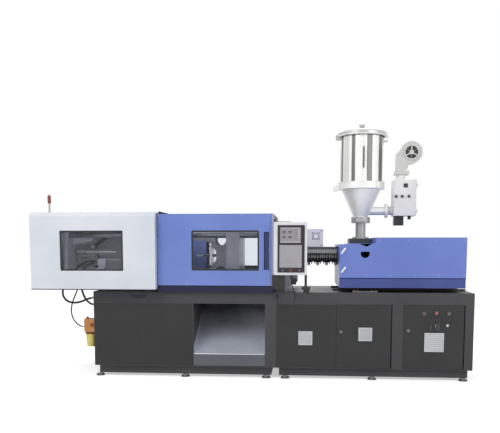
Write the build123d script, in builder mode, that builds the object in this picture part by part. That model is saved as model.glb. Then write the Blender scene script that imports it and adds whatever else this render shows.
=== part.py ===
from build123d import *
import os
from math import atan2, cos, pi, radians, sin, tan

# Horizontal toggle injection moulding machine with a hopper dryer.
# X runs along the machine from the clamp end to the injection end, Y to the rear, Z up from the floor.
# The origin is on the floor, under the machine axis, half way along the base.

# Clearances and sheet
GAP = 0.3
FIT = 0.1
SEAT = 0.1
SHEET = 3.0
AXIS_Z = 1275.0

# Base
BASE_LEFT = -1970.0
BASE_RIGHT = 1970.0
BASE_HALF = 560.0
BASE_TOP = 905.0
BASE_WALL = 8.0
BASE_SEAM = -45.0
SEAM_GAP = 0.3
FOOT_HEIGHT = 30.0
PLINTH_TOP = 115.0
PLINTH_SETBACK = 40.0
BEAM_LOW = 783.0
CHUTE_LEFT = -903.0
CHUTE_RIGHT = -152.0
CHUTE_LIP = 265.0
CHUTE_SHEET = 4.0
CHUTE_BACK = 330.0
CHUTE_TOP = 790.0
CHUTE_SIDE = 65.0
DROP_HALF = 200.0
RAIL_INNER = 220.0
RAIL_OUTER = 300.0
RAIL_HEIGHT = 30.0
RAIL_LEFT = -2565.0
RAIL_RIGHT = -62.0
RAIL_TOP = BASE_TOP + RAIL_HEIGHT
BED_RAIL_HEIGHT = 22.0
FOOT_RADIUS = 48.0

# Cabinet openings, left and right edges
OPENING_LOW = 123.0
PANEL_LEFT = -35.0
PANEL_RIGHT = 578.0
MIDDLE_LEFT = 583.0
MIDDLE_RIGHT = 1153.0
RIGHT_LEFT = 1266.0
RIGHT_RIGHT = 1883.0
JAMB_DEPTH = 30.0
JAMB_WALL = 8.0
DOOR_GAP = 3.0
HINGE_GAP = 6.5
DOOR_DEPTH = 25.0
DOOR_SHEET = 2.5
PIVOT_RADIUS = 5.0
PIVOT_LENGTH = 20.0
COVER_PLATE = 2.0

# Louvred filters: centre x, centre z, size
FILTER_LEFT = (269.0, 432.0, 144.0)
FILTER_MIDDLE = (882.0, 478.0, 138.0)
FILTER_RIGHT = (1577.0, 403.0, 194.0)
FILTER_DEPTH = 12.0
FILTER_RIM = 12.0
FILTER_SLATS = 8

# Clamp, tie bars and platens
TIE_HALF = 235.0
TIE_RADIUS = 40.0
TIE_LEFT = -2572.0
TIE_RIGHT = 182.0
NUT_RADIUS = 68.0
NUT_LENGTH = 58.0
PLATEN_HALF = 340.0
PLATEN_CORNER = 30.0
TAIL_FRONT = -2320.0
TAIL_THICK = 180.0
TAIL_BACK = TAIL_FRONT - TAIL_THICK
FIXED_FRONT = -60.0
FIXED_THICK = 170.0
FIXED_BACK = FIXED_FRONT + FIXED_THICK
MOVING_FRONT = -440.0
MOVING_THICK = 140.0
MOVING_BACK = MOVING_FRONT - MOVING_THICK
LOCATING_RADIUS = 62.5
NOZZLE_CONE_RADIUS = 115.0
MOULD_BOLT_RADIUS = 8.5
MOULD_BOLT_DEPTH = 45.0
MOULD_BOLT_X = 280.0
MOULD_BOLT_Z = 140.0
ROBOT_BOLT_X = 100.0
ROBOT_BOLT_Y = 200.0
ROBOT_BOLT_RADIUS = 6.0
EJECTOR_HOLE_RADIUS = 15.0
EJECTOR_SPACING = 90.0

# Toggle: equal links, so that the moving platen runs level
LINK_LENGTH = 380.0
LINK_ANGLE = 16.0
TAIL_PIVOT_X = -2060.0
PIVOT_HALF = 320.0
EYE_RADIUS = 46.0
LINK_WAIST = 33.0
MAIN_PIN = 30.0
BLADE_Y = 110.0
BLADE_THICK = 38.0
FORK_THICK = 24.0
SIDE_GAP = 0.5
EAR_THICK = 30.0
LUG_REACH = 150.0
LUG_ANGLE = 20.0
LUG_RADIUS = 30.0
LUG_PIN = 14.0
LUG_CLEARANCE = 5.5
CROSS_LENGTH = 240.0
CROSS_ANGLE = 34.07
CROSS_HALF_HEIGHT = 100.0
CROSS_X = TAIL_PIVOT_X - 78.8
CROSS_PIN = 15.0
CROSS_EYE = 29.0
CROSS_LINK_HALF = 27.0
GUIDE_Y = 85.0
GUIDE_Z = 43.0
GUIDE_RADIUS = 18.0
GUIDE_END = -1850.0
PISTON_RADIUS = 32.0
CYLINDER_RADIUS = 75.0
CYLINDER_BACK = -2576.0

# Clamp cover
COVER_LEFT = -2592.0
COVER_RIGHT = -1272.0
COVER_HALF = 690.0
COVER_LOW = 937.0
COVER_TOP = 1728.0
COVER_BEVEL = 38.0
COVER_LIP = 85.0
WINDOW_LEFT = -2272.0
WINDOW_RIGHT = -1607.0
WINDOW_LOW = 1127.0
WINDOW_TOP = 1540.0
PANE = 5.0
PANE_LAP = 22.0

# Safety gates
GATE_LEFT = -1268.0
GATE_RIGHT = -90.0
GATE_FACE = 600.0
GATE_DEPTH = 38.0
GATE_LOW = 975.3
GATE_TOP = 1712.0
GATE_WINDOW_LEFT = -910.0
GATE_WINDOW_RIGHT = -211.0
GATE_WINDOW_LOW = 1130.0
GATE_WINDOW_TOP = 1541.0
PULL_LEFT = -159.0
PULL_RIGHT = -111.0
PULL_LOW = 1143.0
PULL_TOP = 1523.0
PULL_DEPTH = 24.0
GATE_RAIL_LOW_TOP = GATE_LOW - GAP
GATE_RAIL_BACK = 520.0
UPPER_RAIL_LOW = 1650.0
POST_WIDTH = 40.0

# Control panel
PANEL_X0 = -60.0
PANEL_X1 = 280.0
PANEL_Z0 = 1087.0
PANEL_Z1 = 1625.0
PANEL_FACE = 655.0
PANEL_BACK = 545.0
FASCIA_DEPTH = 5.0
STAND_FRONT = 612.0
STAND_BACK = 530.0

# Barrel and injection unit
BARREL_RADIUS = 62.0
BORE_RADIUS = 25.0
SCREW_RADIUS = BORE_RADIUS - FIT
SCREW_CORE = 17.0
SHANK_DEPTH = 40.0
BAND_RADIUS = 75.0
BAND_WIDTH = 88.0
BAND_PITCH = 98.0
BAND_FIRST = 205.0
NOZZLE_TIP = -15.0
BARREL_LEFT = 112.0
FEED_LEFT = 735.0
FEED_RIGHT = 973.0
FEED_HALF = 150.0
FEED_TOP = 1462.0
FEED_BORE = 38.0
HOPPER_X = 865.0
BED_LOW = 952.0
BED_THICK = 15.0
BED_RAIL_Y = 210.0
BACK_PLATE_X = 1560.0
PUSHER_X = 1180.0
PUSHER_THICK = 60.0
STAY_Y = 190.0
STAY_RADIUS = 24.0

# Injection cover
INJ_LEFT = 614.0
INJ_RIGHT = 1888.0
INJ_HALF = 520.0
INJ_LOW = 952.0
INJ_TOP = 1469.0
INJ_STEP_X = 725.0
INJ_STEP_TOP = INJ_TOP - 69.0
NOTCH_RIGHT = 977.0
NOTCH_TOP = INJ_TOP - 60.0
SKIRT_TOP = 1058.0
SKIRT_SETBACK = 12.0
BED_HALF = INJ_HALF - SKIRT_SETBACK - SHEET - GAP

# Hopper
NECK_RADIUS = 55.0
NECK_TOP = 1632.0
FLANGE_RADIUS = 103.0
FLANGE_TOP = 1692.0
CONE_LOW_RADIUS = 80.0
CONE_TOP_RADIUS = 207.0
CONE_TOP = 1990.0
RING_RADIUS = 250.0
RING_TOP = 2067.0
DRUM_RADIUS = 228.0
DRUM_TOP = 2550.0
LID_RADIUS = 264.0
LID_RIM = 48.0
LID_CROWN = 38.0
PIPE_Z = 1765.0
PIPE_RADIUS = 47.0
PIPE_FLANGE_X = 1136.0
PIPE_FLANGE_RADIUS = 76.0

# Dryer box and blower
DRYER_X0 = 1205.0
DRYER_X1 = 1440.0
DRYER_HALF = 120.0
DRYER_Z0 = 1705.0
DRYER_Z1 = 2090.0
BLOWER_NECK_X = 1285.0
BLOWER_NECK_RADIUS = 51.0
BLOWER_X = BLOWER_NECK_X + 104.0
BLOWER_Z = 2382.0
BLOWER_RADIUS = 118.0
BLOWER_HALF = 60.0
DUCT_LEFT = BLOWER_NECK_X - 51.0
DUCT_RIGHT = BLOWER_NECK_X + 55.0
DUCT_LOW = BLOWER_Z - 199.0
INTAKE_RADIUS = 82.0

# Hoses and the panel's cable
HOSE_RADIUS = 11.0
LUB_HOSE_RADIUS = 7.0
LUB_INLET_Z = 520.0
CABLE_RADIUS = 6.0
GLAND_LENGTH = 20.0
HOSE_GLANDS = ((-455.0, 826.0), (-408.0, 750.0))
CABLE_GLAND = (-24.0, 872.0)
PORT_X = -2030.0
PORT_Y = -183.0
PORT_HEIGHTS = (1217.0, 1187.0)
LUB_PORT = (-290.0, 1000.0)


def block(x0, x1, y0, y1, z0, z1, mode=Mode.ADD):
    """Straight block between six faces."""
    with Locations(((x0 + x1) / 2, (y0 + y1) / 2, (z0 + z1) / 2)):
        Box(x1 - x0, y1 - y0, z1 - z0, mode=mode)


def bar_between(start, end, radius, mode=Mode.ADD):
    """Round bar or hole from one point to another."""
    line = Vector(*end) - Vector(*start)
    with Locations(Plane(origin=start, z_dir=line)):
        Cylinder(radius, line.length, align=(Align.CENTER, Align.CENTER, Align.MIN), mode=mode)


def side_plane(y):
    """Plane seen from the front, with x and z as its own axes; extruding goes towards the front."""
    return Plane.XZ.offset(-y)


def end_plane(x):
    """Plane across the machine, with y and z as its own axes; extruding goes towards +X."""
    return Plane(origin=(x, 0, 0), x_dir=(0, 1, 0), z_dir=(1, 0, 0))


def strap(start, end, half_width):
    """Straight strip between two points of a sketch."""
    along = Vector(end[0] - start[0], end[1] - start[1])
    across = Vector(-along.Y, along.X).normalized() * half_width
    corners = [
        (start[0] + across.X, start[1] + across.Y),
        (end[0] + across.X, end[1] + across.Y),
        (end[0] - across.X, end[1] - across.Y),
        (start[0] - across.X, start[1] - across.Y),
    ]
    Polygon(*corners, align=None)


def disc(centre, radius, mode=Mode.ADD):
    """Circle of a sketch at a point."""
    with Locations(centre):
        Circle(radius, mode=mode)


def rectangle(x0, x1, z0, z1, mode=Mode.ADD):
    """Rectangle of a sketch between four edges."""
    with Locations(((x0 + x1) / 2, (z0 + z1) / 2)):
        Rectangle(x1 - x0, z1 - z0, mode=mode)


def polar(origin, length, angle):
    """Point at a length and an angle in degrees from another, in the side view."""
    return (origin[0] + length * cos(radians(angle)), origin[1] + length * sin(radians(angle)))


# Toggle points in the side view, for the upper half (up = 1) or the lower half (up = -1)
def toggle_points(up):
    tail = (TAIL_PIVOT_X, AXIS_Z + up * PIVOT_HALF)
    knee = polar(tail, LINK_LENGTH, -up * LINK_ANGLE)
    head = polar(knee, LINK_LENGTH, up * LINK_ANGLE)
    lug = polar(tail, LUG_REACH, -up * (LINK_ANGLE + LUG_ANGLE))
    cross = (CROSS_X, AXIS_Z + up * CROSS_HALF_HEIGHT)
    tip = polar(cross, CROSS_LENGTH, up * CROSS_ANGLE)
    return tail, knee, head, lug, cross, tip


HEAD_PIVOT_X = toggle_points(1)[2][0]
BLADE_IN = BLADE_Y - BLADE_THICK / 2
BLADE_OUT = BLADE_Y + BLADE_THICK / 2
pieces = {}

# Base: two weldments of plates on plinth strips, with the chute's bay, the cabinet openings and the bed rails
SPANS = ((BASE_LEFT, BASE_SEAM - SEAM_GAP / 2), (BASE_SEAM + SEAM_GAP / 2, BASE_RIGHT))
CHUTE_BAY = (CHUTE_LEFT, CHUTE_RIGHT)
OPENINGS = ((MIDDLE_LEFT, MIDDLE_RIGHT), (RIGHT_LEFT, RIGHT_RIGHT))
PIVOT_Y = -BASE_HALF + DOOR_DEPTH / 2
COVER_BRACKETS = (COVER_LEFT + 32, BASE_LEFT - 20, COVER_RIGHT - 56)
FLOOR_TOP = PLINTH_TOP + BASE_WALL
DECK_LOW = BASE_TOP - BASE_WALL
with BuildPart() as base_frame:
    for (left, right), bays in zip(SPANS, ((CHUTE_BAY,), OPENINGS)):
        # Floor plate on four plinth strips
        block(left, right, -BASE_HALF, BASE_HALF, PLINTH_TOP, FLOOR_TOP)
        outer = BASE_HALF - PLINTH_SETBACK
        inner = outer - 2 * BASE_WALL
        for low_y, high_y in ((-outer, -inner), (inner, outer)):
            block(left + PLINTH_SETBACK, right - PLINTH_SETBACK, low_y, high_y, FOOT_HEIGHT, PLINTH_TOP - SEAT)
        for x in (left + PLINTH_SETBACK, right - PLINTH_SETBACK - 2 * BASE_WALL):
            block(x, x + 2 * BASE_WALL, -inner + SEAT, inner - SEAT, FOOT_HEIGHT, PLINTH_TOP - SEAT)
        # End plates, rear plate, and front plates with a beam over each bay
        for x in (left, right - BASE_WALL):
            block(x, x + BASE_WALL, -BASE_HALF, BASE_HALF, FLOOR_TOP + SEAT, DECK_LOW - SEAT)
        first = left + BASE_WALL + SEAT
        last = right - BASE_WALL - SEAT
        block(first, last, BASE_HALF - BASE_WALL, BASE_HALF, FLOOR_TOP + SEAT, DECK_LOW - SEAT)
        edges = [first, *[x for bay in bays for x in bay], last]
        for x0, x1 in zip(edges[::2], edges[1::2]):
            block(x0, x1, -BASE_HALF, -BASE_HALF + BASE_WALL, FLOOR_TOP + SEAT, DECK_LOW - SEAT)
        for x0, x1 in bays:
            block(x0 + SEAT, x1 - SEAT, -BASE_HALF, -BASE_HALF + BASE_WALL, BEAM_LOW, DECK_LOW - SEAT)
    # Deck plates, with the drop hole over the chute, and the bulkheads either side of it
    for left, right in ((BASE_LEFT, CHUTE_LEFT), (CHUTE_RIGHT, SPANS[0][1]), SPANS[1]):
        block(left, right, -BASE_HALF, BASE_HALF, DECK_LOW, BASE_TOP)
    for low_y, high_y in ((-BASE_HALF, -DROP_HALF), (DROP_HALF, BASE_HALF)):
        block(CHUTE_LEFT + SEAT, CHUTE_RIGHT - SEAT, low_y, high_y, DECK_LOW, BASE_TOP)
    inner = BASE_HALF - BASE_WALL - SEAT
    for x in (CHUTE_LEFT - BASE_WALL, CHUTE_RIGHT):
        block(x, x + BASE_WALL, -inner, inner, FLOOR_TOP + SEAT, DECK_LOW - SEAT)
    # Jambs and pivot pins of the two cabinet doors
    for left, right in OPENINGS:
        near = -inner
        far = -BASE_HALF + JAMB_DEPTH
        for x in (left - JAMB_WALL, right):
            block(x, x + JAMB_WALL, near, far, FLOOR_TOP + SEAT, BEAM_LOW - SEAT)
        block(left - JAMB_WALL, right + JAMB_WALL, near, far, BEAM_LOW, BEAM_LOW + JAMB_WALL)
        pivot_x = right - HINGE_GAP - DOOR_DEPTH / 2
        bar_between((pivot_x, PIVOT_Y, FLOOR_TOP + SEAT), (pivot_x, PIVOT_Y, FLOOR_TOP + PIVOT_LENGTH), PIVOT_RADIUS)
        bar_between((pivot_x, PIVOT_Y, BEAM_LOW - PIVOT_LENGTH), (pivot_x, PIVOT_Y, BEAM_LOW - SEAT), PIVOT_RADIUS)
    # Bed rails of the platens, which carry on past the base under the clamp cover, and of the carriage
    for side in (-1, 1):
        near, far = sorted((side * RAIL_INNER, side * RAIL_OUTER))
        block(RAIL_LEFT, RAIL_RIGHT, near, far, BASE_TOP + SEAT, RAIL_TOP)
        middle = side * BED_RAIL_Y
        block(INJ_LEFT - 54, BASE_RIGHT - 15, middle - 30, middle + 30, BASE_TOP + SEAT, BASE_TOP + BED_RAIL_HEIGHT)
        # Brackets out to the clamp cover and the gate frame
        near, far = sorted((side * (RAIL_OUTER - 18), side * (COVER_HALF - SHEET)))
        for x in COVER_BRACKETS:
            block(x, x + 50, near, far, RAIL_TOP + SEAT, RAIL_TOP + BED_RAIL_HEIGHT)
    # Hose and cable glands
    for y, z in HOSE_GLANDS:
        bar_between((BASE_LEFT - SEAT, y, z), (BASE_LEFT - GLAND_LENGTH, y, z), HOSE_RADIUS + 6)
    gland_x, gland_z = CABLE_GLAND
    bar_between((gland_x, -BASE_HALF - SEAT, gland_z), (gland_x, -BASE_HALF - 10, gland_z), CABLE_RADIUS + 5)
pieces["base_frame"] = base_frame

# Cover plates screwed to the base, front and rear, and the fixed front panel
with BuildPart() as base_panels:
    front_plates = ((BASE_LEFT + 6, -1455), (-1450, CHUTE_LEFT - 8), (PANEL_LEFT + 3, PANEL_RIGHT))
    rear_plates = ((BASE_LEFT + 40, -1000), (-990, BASE_SEAM - 35), (BASE_SEAM + 45, 960), (970, BASE_RIGHT - 40))
    for side, plates in ((-1, front_plates), (1, rear_plates)):
        for left, right in plates:
            near, far = sorted((side * BASE_HALF, side * (BASE_HALF + COVER_PLATE)))
            block(left, right, near, far, OPENING_LOW, BEAM_LOW - 2)
pieces["base_panels"] = base_panels

# Levelling feet: pad and stem under the plinth
FOOT_X = (
    BASE_LEFT + 45, CHUTE_LEFT - 97, BASE_SEAM - 95, BASE_SEAM + 105, (BASE_SEAM + BASE_RIGHT) / 2, BASE_RIGHT - 80,
)
FOOT_Y = BASE_HALF - PLINTH_SETBACK - BASE_WALL
with BuildPart() as levelling_feet:
    for x in FOOT_X:
        for y in (-FOOT_Y, FOOT_Y):
            with Locations((x, y, 0)):
                Cone(FOOT_RADIUS, FOOT_RADIUS * 0.75, 20, align=(Align.CENTER, Align.CENTER, Align.MIN))
            bar_between((x, y, 18), (x, y, FOOT_HEIGHT), 16)
pieces["levelling_feet"] = levelling_feet

# Product chute: a sloping bright sheet with a lip and an apron, and a side strip on each edge
with BuildPart() as product_chute:
    with BuildSketch(end_plane(CHUTE_LEFT + GAP)):
        with BuildLine():
            FilletPolyline(
                (-BASE_HALF + 6, FLOOR_TOP + CHUTE_SHEET), (-BASE_HALF + 6, CHUTE_LIP - 12),
                (-BASE_HALF + 30, CHUTE_LIP), (CHUTE_BACK, CHUTE_TOP), radius=8,
            )
            offset(amount=CHUTE_SHEET / 2, side=Side.BOTH)
        make_face()
    extrude(amount=CHUTE_RIGHT - CHUTE_LEFT - 2 * GAP)
    slope = atan2(CHUTE_TOP - CHUTE_LIP, CHUTE_BACK + BASE_HALF - 30)
    rise = CHUTE_SHEET / 2 / cos(slope) + SEAT
    for x in (CHUTE_LEFT + GAP, CHUTE_RIGHT - GAP - CHUTE_SHEET):
        with BuildSketch(end_plane(x)):
            Polygon(
                (-BASE_HALF + 30, CHUTE_LIP + rise), (CHUTE_BACK, CHUTE_TOP + rise),
                (CHUTE_BACK, CHUTE_TOP + CHUTE_SIDE), (-BASE_HALF + 30, CHUTE_LIP + CHUTE_SIDE), align=None,
            )
        extrude(amount=CHUTE_SHEET)
pieces["product_chute"] = product_chute

# Pump with its motor on a foot plate, inside the injection base
MOTOR_Y = 150.0
MOTOR_Z = 390.0
MOTOR_RADIUS = 135.0
with BuildPart() as pump_motor:
    bar_between((640, MOTOR_Y, MOTOR_Z), (980, MOTOR_Y, MOTOR_Z), MOTOR_RADIUS)
    bar_between((980, MOTOR_Y, MOTOR_Z), (1060, MOTOR_Y, MOTOR_Z), 95)
    bar_between((1060, MOTOR_Y, MOTOR_Z), (1180, MOTOR_Y, MOTOR_Z), 62)
    for x in (690, 870):
        block(x, x + 60, MOTOR_Y - 110, MOTOR_Y + 110, PLINTH_TOP + BASE_WALL + 12, MOTOR_Z)
    block(600, 1200, MOTOR_Y - 150, MOTOR_Y + 150, PLINTH_TOP + BASE_WALL, PLINTH_TOP + BASE_WALL + 14)
    block(760, 880, MOTOR_Y - 60, MOTOR_Y + 60, MOTOR_Z + 100, MOTOR_Z + 180)
pieces["pump_motor"] = pump_motor

# Switchgear plate in the right cabinet
with BuildPart() as switchgear:
    block(1290, 1860, 380, 384, PLINTH_TOP + BASE_WALL, 760)
    for row in range(3):
        for column in range(4):
            x = 1330 + column * 130
            z = 220 + row * 180
            block(x, x + 95, 330 - row * 15, 381, z, z + 110)
pieces["switchgear"] = switchgear


def cabinet_door(left, right, lock_z):
    """Folded door with a full-round pivot edge on the right and a round lock on the left."""
    x0 = left + DOOR_GAP
    z0 = OPENING_LOW + DOOR_GAP
    z1 = BEAM_LOW - DOOR_GAP
    with BuildPart() as door:
        pivot_x = right - HINGE_GAP - DOOR_DEPTH / 2
        block(x0, pivot_x, -BASE_HALF, -BASE_HALF + DOOR_DEPTH, z0, z1)
        block(
            x0 + DOOR_SHEET, pivot_x - 14, -BASE_HALF + DOOR_SHEET, -BASE_HALF + DOOR_DEPTH + 1,
            z0 + DOOR_SHEET, z1 - DOOR_SHEET, mode=Mode.SUBTRACT,
        )
        bar_between((pivot_x, PIVOT_Y, z0), (pivot_x, PIVOT_Y, z1), DOOR_DEPTH / 2)
        for low, high in ((z0 - 1, z0 + PIVOT_LENGTH + 2), (z1 - PIVOT_LENGTH - 2, z1 + 1)):
            bar_between((pivot_x, PIVOT_Y, low), (pivot_x, PIVOT_Y, high), PIVOT_RADIUS + FIT, mode=Mode.SUBTRACT)
        bar_between((x0 + 48, -BASE_HALF + 1, lock_z), (x0 + 48, -BASE_HALF - 7, lock_z), 15)
    return door


pieces["cabinet_door_middle"] = cabinet_door(MIDDLE_LEFT, MIDDLE_RIGHT, 502.0)
pieces["cabinet_door_right"] = cabinet_door(RIGHT_LEFT, RIGHT_RIGHT, 521.0)


def louvred_filter(place, seat_y):
    """Square filter grille: a rim with sloping slats over a backing plate."""
    centre_x, centre_z, size = place
    half = size / 2
    inner = half - FILTER_RIM
    face = seat_y - FILTER_DEPTH
    pitch = 2 * inner / FILTER_SLATS
    with BuildPart() as grille:
        block(centre_x - half, centre_x + half, face, seat_y, centre_z - half, centre_z + half)
        block(
            centre_x - inner, centre_x + inner, face - 1, seat_y - 3,
            centre_z - inner, centre_z + inner, mode=Mode.SUBTRACT,
        )
        with BuildSketch(end_plane(centre_x - inner - 1)):
            for index in range(FILTER_SLATS):
                z = centre_z - inner + index * pitch
                Polygon(
                    (seat_y - 4, z + pitch - 1), (face + 2, z + 5), (face + 2, z + 2), (seat_y - 2, z + pitch - 5),
                    align=None,
                )
        extrude(amount=2 * inner + 2)
    return grille


pieces["filter_left"] = louvred_filter(FILTER_LEFT, -BASE_HALF - COVER_PLATE)
pieces["filter_middle"] = louvred_filter(FILTER_MIDDLE, -BASE_HALF)
pieces["filter_right"] = louvred_filter(FILTER_RIGHT, -BASE_HALF)

# Main switch: the turning knob and its grip
SWITCH_X = 1580.0
SWITCH_Z = 558.0
with BuildPart() as main_switch:
    bar_between((SWITCH_X, -BASE_HALF - 8 - GAP, SWITCH_Z), (SWITCH_X, -BASE_HALF - 26, SWITCH_Z), 30)
    block(SWITCH_X - 8, SWITCH_X + 8, -BASE_HALF - 44, -BASE_HALF - 25, SWITCH_Z - 30, SWITCH_Z + 30)
pieces["main_switch"] = main_switch

LAMPS = ((1470.0, 694.0, 15.0), (1592.0, 703.0, 16.0), (1719.0, 699.0, 15.0), (1706.0, 578.0, 13.0))
with BuildPart() as indicator_lamps:
    block(SWITCH_X - 52, SWITCH_X + 52, -BASE_HALF - 8, -BASE_HALF, SWITCH_Z - 36, SWITCH_Z + 36)
    for x, z, radius in LAMPS:
        bar_between((x, -BASE_HALF, z), (x, -BASE_HALF - 6, z), radius + 4)
        bar_between((x, -BASE_HALF - 5, z), (x, -BASE_HALF - 18, z), radius)
pieces["indicator_lamps"] = indicator_lamps

# Frame that carries the gates: bars bolted together as rails, posts and cross bars
FRAME_RIGHT = GATE_RIGHT + 28
LIGHT_POST_LEFT = GATE_RIGHT + 4
UPPER_RAIL_TOP = GATE_TOP - SHEET - GAP
INNER_POSTS = (COVER_LEFT + 34, COVER_RIGHT - 80)
STAND_FOOT_LOW = BASE_TOP + 32
STAND_FOOT_TOP = BASE_TOP + 61
PANEL_STANDS = ((-77.0, 56.0, 12.0, FRAME_RIGHT + SEAT, 56.0), (255.0, 281.0, 40.0, 226.0, 312.0))
with BuildPart() as gate_frame:
    for side in (-1, 1):
        # Lower rail in two lengths, on the base and on the brackets under the clamp cover
        near, far = sorted((side * (GATE_FACE - 2), side * GATE_RAIL_BACK))
        block(COVER_RIGHT + 2, FRAME_RIGHT, near, far, BASE_TOP, GATE_RAIL_LOW_TOP)
        block(
            COVER_LEFT + 30, COVER_RIGHT + 2 - SEAT, near, far, RAIL_TOP + BED_RAIL_HEIGHT, GATE_RAIL_LOW_TOP,
        )
        near, far = sorted((side * GATE_FACE, side * GATE_RAIL_BACK))
        block(LIGHT_POST_LEFT, FRAME_RIGHT, near, far, GATE_RAIL_LOW_TOP + SEAT, GATE_TOP)
        near, far = sorted((side * (GATE_RAIL_BACK + 38), side * GATE_RAIL_BACK))
        block(COVER_LEFT + 30, LIGHT_POST_LEFT - SEAT, near, far, UPPER_RAIL_LOW, UPPER_RAIL_TOP)
        for x in INNER_POSTS:
            block(x, x + POST_WIDTH, near, far, GATE_RAIL_LOW_TOP + SEAT, UPPER_RAIL_LOW - SEAT)
    inner = GATE_RAIL_BACK - SEAT
    for x in (INNER_POSTS[1], FRAME_RIGHT - POST_WIDTH):
        block(x, x + POST_WIDTH, -inner, inner, UPPER_RAIL_LOW + 12, UPPER_RAIL_TOP)
    # Sloping plate above the upper rail, next to the clamp cover
    with BuildSketch(side_plane(-inner + 6)):
        Polygon(
            (COVER_RIGHT + 2, GATE_TOP - 22), (COVER_RIGHT + 126, GATE_TOP - 22), (COVER_RIGHT + 126, GATE_TOP + 2),
            (COVER_RIGHT + 2, GATE_TOP + 32), align=None,
        )
    extrude(amount=6)
    # Stands of the control panel
    for x0, x1, depth, foot_x0, foot_x1 in PANEL_STANDS:
        block(x0, x1, -STAND_FRONT, -STAND_FRONT + depth - SEAT, STAND_FOOT_TOP + SEAT, PANEL_Z0)
        block(foot_x0, foot_x1, -STAND_FRONT, -STAND_BACK, STAND_FOOT_LOW, STAND_FOOT_TOP)
        block(foot_x0 + 20, foot_x1 - 4, -STAND_BACK - 24, -STAND_BACK, BASE_TOP, STAND_FOOT_LOW - SEAT)
pieces["gate_frame"] = gate_frame


def safety_gate(side):
    """Folded gate with a window, a top hanger flange and a recessed pull; side is -1 in front, 1 at the rear."""

    def depth(y0, y1):
        return sorted((side * y0, side * y1))

    with BuildPart() as gate:
        near, far = depth(GATE_FACE, GATE_FACE - GATE_DEPTH)
        block(GATE_LEFT, GATE_RIGHT, near, far, GATE_LOW, GATE_TOP)
        near, far = depth(GATE_FACE - SHEET, GATE_FACE - GATE_DEPTH - 1)
        block(
            GATE_LEFT + SHEET, GATE_RIGHT - SHEET, near, far, GATE_LOW + SHEET, GATE_TOP - SHEET, mode=Mode.SUBTRACT,
        )
        near, far = depth(GATE_FACE - GATE_DEPTH + 1, GATE_RAIL_BACK + 4)
        block(GATE_LEFT, GATE_RIGHT, near, far, GATE_TOP - SHEET, GATE_TOP)
        near, far = depth(GATE_FACE + 1, GATE_FACE - SHEET - 1)
        block(
            GATE_WINDOW_LEFT, GATE_WINDOW_RIGHT, near, far, GATE_WINDOW_LOW, GATE_WINDOW_TOP, mode=Mode.SUBTRACT,
        )
        # Pressed tray of the pull, let into the sheet
        rim = SHEET + SEAT
        block(PULL_LEFT - rim, PULL_RIGHT + rim, near, far, PULL_LOW - rim, PULL_TOP + rim, mode=Mode.SUBTRACT)
        near, far = depth(GATE_FACE, GATE_FACE - PULL_DEPTH - SHEET)
        block(PULL_LEFT - SHEET, PULL_RIGHT + SHEET, near, far, PULL_LOW - SHEET, PULL_TOP + SHEET)
        near, far = depth(GATE_FACE + 1, GATE_FACE - PULL_DEPTH)
        block(PULL_LEFT, PULL_RIGHT, near, far, PULL_LOW, PULL_TOP, mode=Mode.SUBTRACT)
    return gate


def gate_pane(side):
    """Clear pane behind the gate's window."""
    near, far = sorted((side * (GATE_FACE - SHEET), side * (GATE_FACE - SHEET - PANE)))
    with BuildPart() as pane:
        block(
            GATE_WINDOW_LEFT - PANE_LAP, GATE_WINDOW_RIGHT + PANE_LAP, near, far,
            GATE_WINDOW_LOW - PANE_LAP, GATE_WINDOW_TOP + PANE_LAP,
        )
    return pane


pieces["front_gate"] = safety_gate(-1)
pieces["front_gate_window"] = gate_pane(-1)
pieces["rear_gate"] = safety_gate(1)
pieces["rear_gate_window"] = gate_pane(1)


def cover_section(inset):
    """Section of the clamp cover: upright sides and bevelled top edges."""
    half = COVER_HALF - inset
    top = COVER_TOP - inset
    bevel = COVER_BEVEL - inset * 0.4
    Polygon(
        (-half, COVER_LOW), (-half, top - bevel), (-half + bevel, top), (half - bevel, top),
        (half, top - bevel), (half, COVER_LOW), align=None,
    )


# Clamp cover: folded sheet, open below and towards the gates, with lips at its open end
with BuildPart() as clamp_cover:
    with BuildSketch(end_plane(COVER_LEFT)):
        cover_section(0)
    extrude(amount=COVER_RIGHT - COVER_LEFT)
    with BuildSketch(end_plane(COVER_LEFT + SHEET)):
        cover_section(SHEET)
    extrude(amount=COVER_RIGHT - COVER_LEFT - 2 * SHEET, mode=Mode.SUBTRACT)
    block(
        COVER_RIGHT - SHEET - 1, COVER_RIGHT + 1, -COVER_HALF + COVER_LIP, COVER_HALF - COVER_LIP,
        COVER_LOW - 1, COVER_TOP - SHEET - 8, mode=Mode.SUBTRACT,
    )
    block(
        WINDOW_LEFT, WINDOW_RIGHT, -COVER_HALF - 1, -COVER_HALF + SHEET + 1, WINDOW_LOW, WINDOW_TOP, mode=Mode.SUBTRACT,
    )
pieces["clamp_cover"] = clamp_cover

with BuildPart() as clamp_cover_window:
    block(
        WINDOW_LEFT - PANE_LAP, WINDOW_RIGHT + PANE_LAP, -COVER_HALF + SHEET, -COVER_HALF + SHEET + PANE,
        WINDOW_LOW - PANE_LAP, WINDOW_TOP + PANE_LAP,
    )
pieces["clamp_cover_window"] = clamp_cover_window

ALARM_X = -2425.0
ALARM_Y = -550.0
with BuildPart() as alarm_light:
    with BuildSketch(Plane.XZ.offset(-ALARM_Y)):
        with BuildLine():
            Polyline(
                (ALARM_X, COVER_TOP), (ALARM_X + 19, COVER_TOP), (ALARM_X + 19, COVER_TOP + 8),
                (ALARM_X + 11, COVER_TOP + 14), (ALARM_X + 11, COVER_TOP + 96), (ALARM_X + 17, COVER_TOP + 100),
                (ALARM_X + 17, COVER_TOP + 172), (ALARM_X + 9, COVER_TOP + 187), (ALARM_X, COVER_TOP + 187), close=True,
            )
        make_face()
    revolve(axis=Axis((ALARM_X, ALARM_Y, 0), (0, 0, 1)))
pieces["alarm_light"] = alarm_light


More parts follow.
